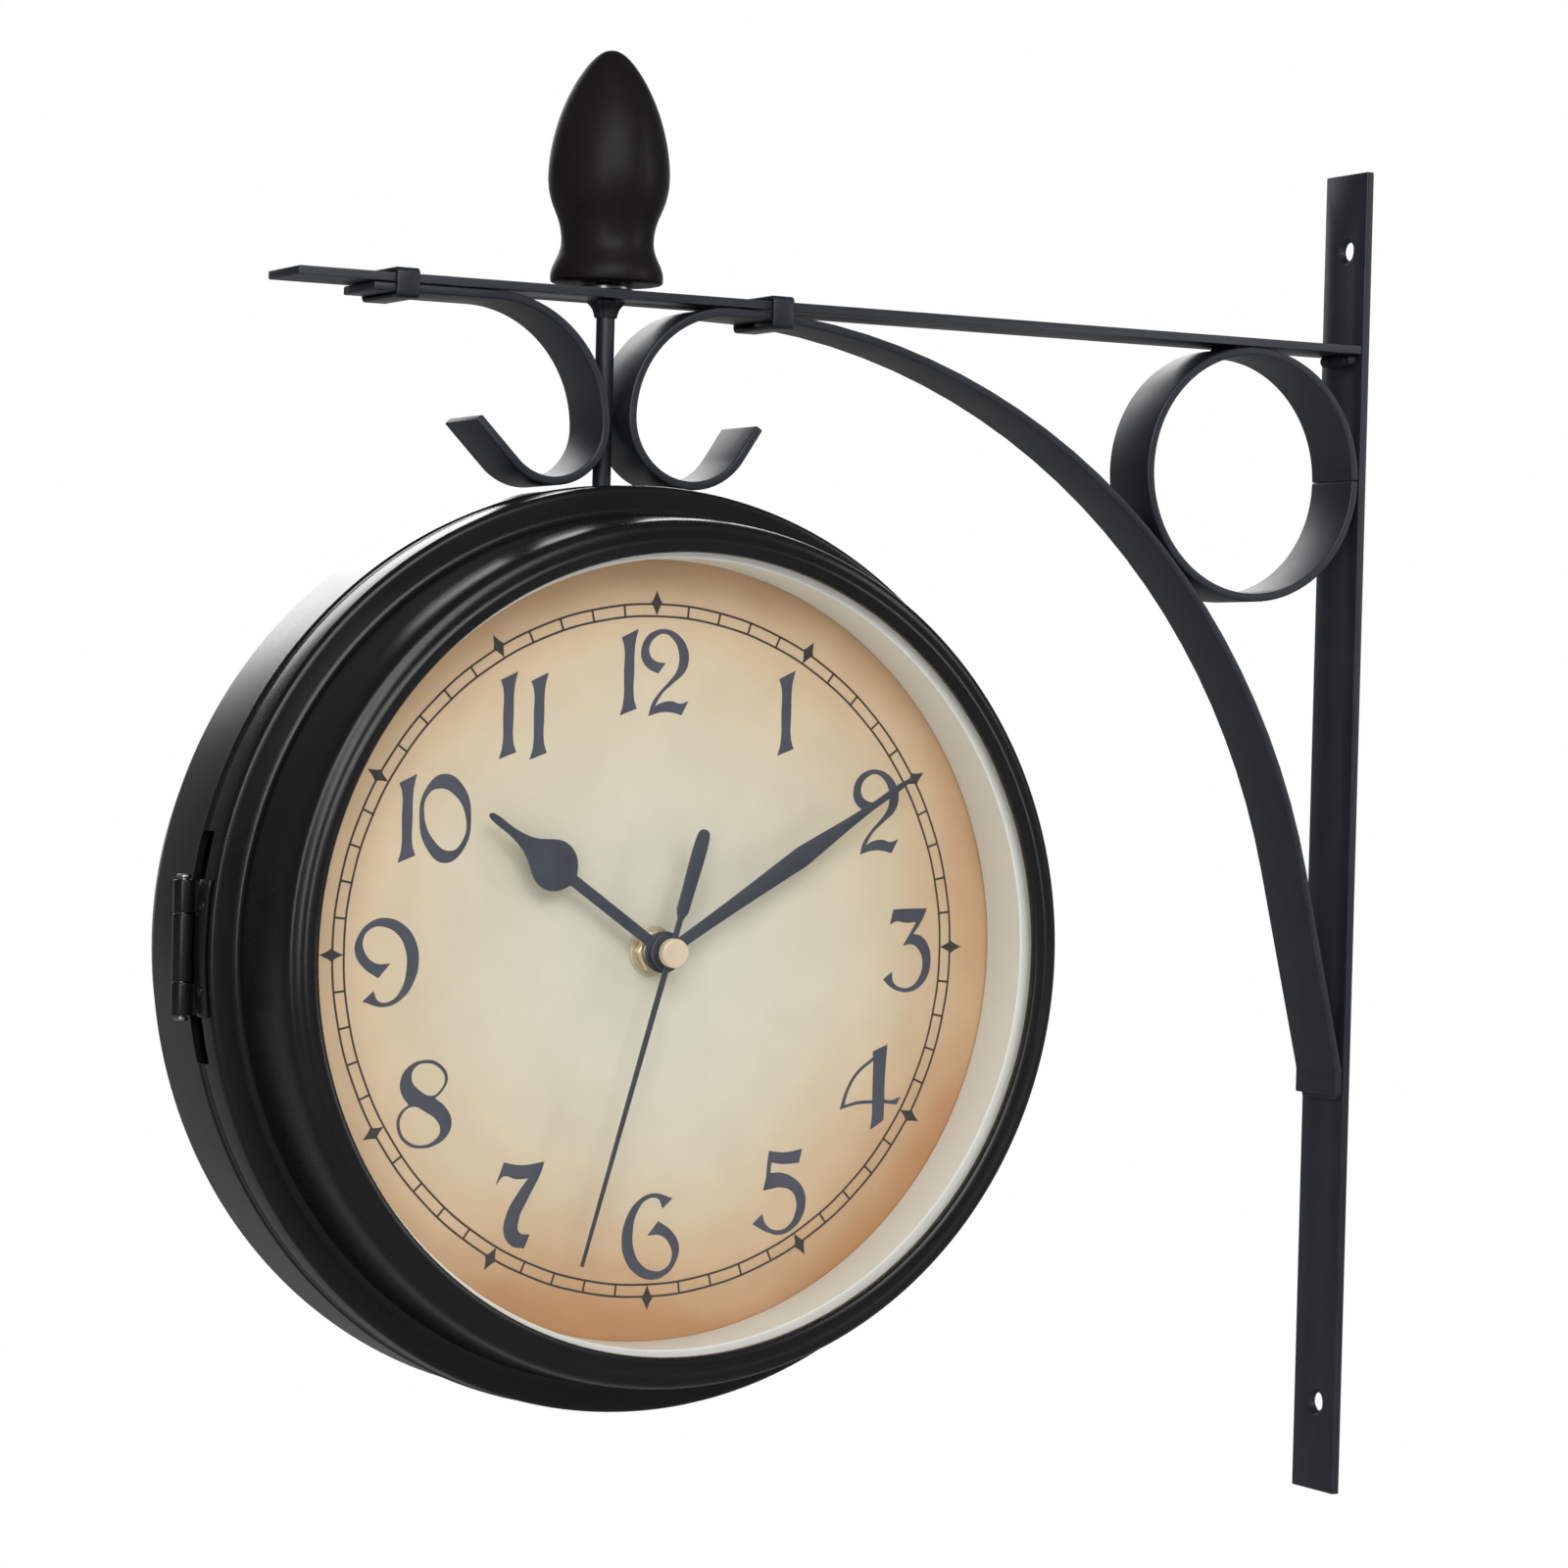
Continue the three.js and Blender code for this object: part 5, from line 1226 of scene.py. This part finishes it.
for side, place in side_place.items():
    body = side_body[side]
    low, high = dial_depth + 0.01, dial_depth + ink_thick
    numerals = []
    for hour in range(1, 13):
        mark = drawn_flat(numeral_pair(str(hour)), low, high, swell=ink_spread)
        right, up = numeral_places[hour]
        move_to(mark, Vector((right, 0, up)) / 1000)
        numerals.append(mark)
    numerals = joined(numerals)
    fit(move_to(numerals, place), f"numerals_{side}", body, "hand_slate", ink)

    marks = [drawn_flat([round_outline(radius + track_line_half), round_outline(radius - track_line_half)],
                        low, high, smooth=12) for radius in (track_outer, track_inner)]
    for minute in range(60):
        angle = math.radians(6 * minute + track_turned)
        turn = Matrix.Rotation(angle, 4, "Y")
        if minute % 5:
            wide, long_in, long_out = track_line_half, track_inner, track_outer
            bar = drawn_flat([[(-wide, long_in, 0), (wide, long_in, 0), (wide, long_out, 0), (-wide, long_out, 0)]],
                             low, high)
            marks.append(move_to(bar, turn))
            continue
        middle, tall, broad, waist = track_outer + 0.3, 3.3, 1.65, 0.88
        star = [(0, middle - tall, 0), (waist, middle - 1.2), (broad, middle, 0), (waist, middle + 1.2),
                (0, middle + tall, 0), (-waist, middle + 1.2), (-broad, middle, 0), (-waist, middle - 1.2)]
        marks.append(move_to(drawn_flat([star], low, high + 0.005), turn))
    marks = joined(marks)
    fit(move_to(marks, place), f"minute_track_{side}", body, "hand_slate", ink_line)

# ---------------------------------------------------------------------------------------------
# Movement fixing. A threaded brass bush comes through the dial with a brass washer and a hexagon
# nut on it; the hour, minute and second pipes turn in it.

brass = surface_finish("turned_brass", as_seen(232, 217, 182), as_seen(250, 240, 214), 0.3, 0.45, 180, 1700, 0.00003,
                       metal=0.75, worn_and_highlit=as_seen(250, 242, 220), wear_and_highlight=0.5)

for side, place in side_place.items():
    body = side_body[side]
    thread = []
    for i in range(12):
        height = 26.2 + 0.4 * i
        thread += [(4.0, height), (3.78, height + 0.2)]
    bush = on_lathe([(2.9, 8.0, 0.2), (5.6, 8.0, 0.2), (5.6, 9.0, 0.2), (4.0, 9.0), (4.0, 26.0), *thread,
                     (3.9, 31.0, 0.2), (2.9, 31.0, 0.2)], 48, lying=True)
    flange_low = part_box(f"bush_{side}")
    fit(move_to(bush, place), f"threaded_bush_{side}", body, "brass", brass, f"bush_{side}")
    washer = on_lathe([(4.3, 25.3, 0.1), (6.6, 25.3, 0.25), (6.6, 26.1, 0.25), (4.3, 26.1, 0.1)], 64, lying=True)
    fit(move_to(washer, place), f"brass_washer_{side}", body, "brass", brass, f"washer_{side}")
    nut = chamfered_nut(5.8, 4.3, 2.4)
    nut.data.transform(Matrix.Translation((0, -0.0264, 0)) @ Matrix.Rotation(math.pi / 2, 4, "X"))
    fit(move_to(nut, place), f"brass_nut_{side}", body, "brass", brass, f"nut_{side}")

# ---------------------------------------------------------------------------------------------
# Hands. Blanked from half millimetre steel and painted slate: an hour hand with a round bulb and
# a fine tip, a slim leaf for the minutes, and a needle with a bar for the seconds. A spun
# champagne cap closes the second hand's pipe.

slate_paint = surface_finish("slate_paint", as_seen(48, 53, 62), as_seen(64, 69, 79), 0.42, 0.56, 90, 1500, 0.00004,
                             worn_and_highlit=as_seen(112, 116, 124), wear_and_highlight=0.6)
cap_metal = surface_finish("champagne_cap", as_seen(212, 190, 164), as_seen(228, 210, 186), 0.3, 0.45, 60, 1400,
                           0.00003, metal=0.15)
hand_edge = 0.07
hour_bulb = 6.6
right_side = [(1.5, 5.18, 0), (1.5, 31.9, 0), (3.3, 32.9), (5.2, 34.55), (6.35, 36.8), (hour_bulb, 38.6), (6.3, 40.5),
              (5.4, 42.4), (3.9, 44.6), (2.6, 46.9), (1.8, 49.2), (1.15, 53.2), (0.95, 59.2), (0.6, 60.6)]
hour_outline = right_side + [(0, 61)] + [(-spot[0], *spot[1:]) for spot in reversed(right_side)]
hub_turns = (-0.9, -1.6, -2.4, math.pi, 2.4, 1.6, 0.9)
hour_hub = 5.4
hour_outline += [(hour_hub * math.sin(turn), hour_hub * math.cos(turn)) for turn in hub_turns]
widest = 2.8
minute_hub = 4.6
minute_side = [(1.5, 4.35, 0), (1.62, 14), (widest - 0.35, 38), (widest, 46, 0), (0.95, 70), (0.72, 82),
               (0.3, 84.8, 0)]
minute_outline = minute_side + [(-spot[0], *spot[1:]) for spot in reversed(minute_side)]
minute_outline += [(minute_hub * math.sin(turn), minute_hub * math.cos(turn)) for turn in hub_turns]
second_outline = [(0.45, 83, 0), (0.8, 3.2, 0), (2.7, 1.9), (3.3, 0), (2.7, -1.9), (0.85, -3.3, 0), (0.8, -9, 0),
                  (1.75, -11.2, 0), (1.75, -31.2), (1.15, -32.6), (0, -33)]
second_outline += [(-spot[0], *spot[1:]) for spot in reversed(second_outline[:-1])]
seconds = 32.7
minutes = 9 + seconds / 60
hours = 10 + minutes / 60
hand_set = (("hour", hour_outline, 2.9, 31.3, hours * 30),
            ("minute", minute_outline, 1.9, 33.3, minutes * 6),
            ("second", second_outline, 0.95, 35.3, seconds * 6))

for side, place in side_place.items():
    for name, outline, bore, back, degrees in hand_set:
        blank = drawn_flat([outline, round_outline(bore, 12)], back, back + 0.5, hand_edge, 8)
        blank.data.transform(Matrix.Rotation(math.radians(degrees), 4, "Y"))
        fit(move_to(blank, place), f"{name}_hand_{side}_blank", f"{name}_{side}", "hand_slate", slate_paint,
            f"{name}_hand_{side}")
    cap = on_lathe([(0, 38.7), (3.4, 38.7, 0.3), (3.8, 38.3, 0.2), (3.8, 36.1, 0.3), (0.95, 36.1), (0.95, 37.6),
                    (0, 37.6)], 64, lying=True)
    fit(move_to(cap, place), f"hand_cap_{side}_spun", f"second_{side}", "champagne", cap_metal, f"hand_cap_{side}")

# ---------------------------------------------------------------------------------------------
# Movements. A square moulded case behind each dial with a pale cover over the wheels, a battery
# in its bay, brass wheels inside and a knurled knob to set the hands.

moulded_pale = surface_finish("moulded_pale", as_seen(206, 203, 194), as_seen(224, 221, 213), 0.45, 0.6, 60, 2000,
                              0.00004)
sleeve = surface_finish("battery_sleeve", as_seen(48, 78, 106), as_seen(66, 98, 128), 0.25, 0.4, 40, 900, 0.00002)

for side, place in side_place.items():
    body = side_body[side]
    finer_copy(f"movement_case_{side}", f"movement_tray_{side}", "black_plastic", moulded_black, 0.0003)
    finer_copy(f"movement_cover_{side}", f"movement_lid_{side}", "white_plastic", moulded_pale, 0.0003)
    low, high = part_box(f"battery_{side}")
    reach = (high.x - low.x) * 500
    cell = on_lathe([(0, -reach), (6.4, -reach, 0.2), (7.1, -reach + 0.5, 0.4), (7.1, reach - 2.1, 0.5),
                     (6.5, reach - 1.6, 0.3), (2.7, reach - 1.5, 0.2), (2.6, reach, 0.3), (0, reach)], 56)
    tip_side = 1 if side == "front" else -1
    cell.data.transform(Matrix.Translation((low + high) / 2) @ Matrix.Rotation(tip_side * math.pi / 2, 4, "Y"))
    fit(cell, f"battery_cell_{side}", body, "battery_sleeve", sleeve, f"battery_{side}")
    low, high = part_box(f"set_knob_{side}")
    out = 1 if side == "front" else -1
    knob = on_lathe([(0, 0), (5.6, 0, 0.5), (6.0, 0.5, 0.2), (6.0, 3.2, 0.3), (1.5, 3.2), (1.5, 9.0), (0, 9.0)], 72)
    for vertex in knob.data.vertices:
        around = math.atan2(vertex.co.y, vertex.co.x)
        if math.hypot(vertex.co.x, vertex.co.y) > 0.0058 and math.cos(around * 24) < 0:
            vertex.co.x *= 0.955
            vertex.co.y *= 0.955
    turn = Matrix.Rotation(out * math.pi / 2, 4, "X")
    knob_back = high.y if side == "front" else low.y
    knob.data.transform(Matrix.Translation(((low.x + high.x) / 2, knob_back, (low.z + high.z) / 2)) @ turn)
    fit(knob, f"setting_knob_{side}", f"knob_{side}", "black_plastic", moulded_black, f"set_knob_{side}")
    for name in ("hour", "minute", "second"):
        wheel = frame["nodes"][f"{name}_wheel_{side}"]
        for slot in wheel.material_slots:
            slot.material = brass
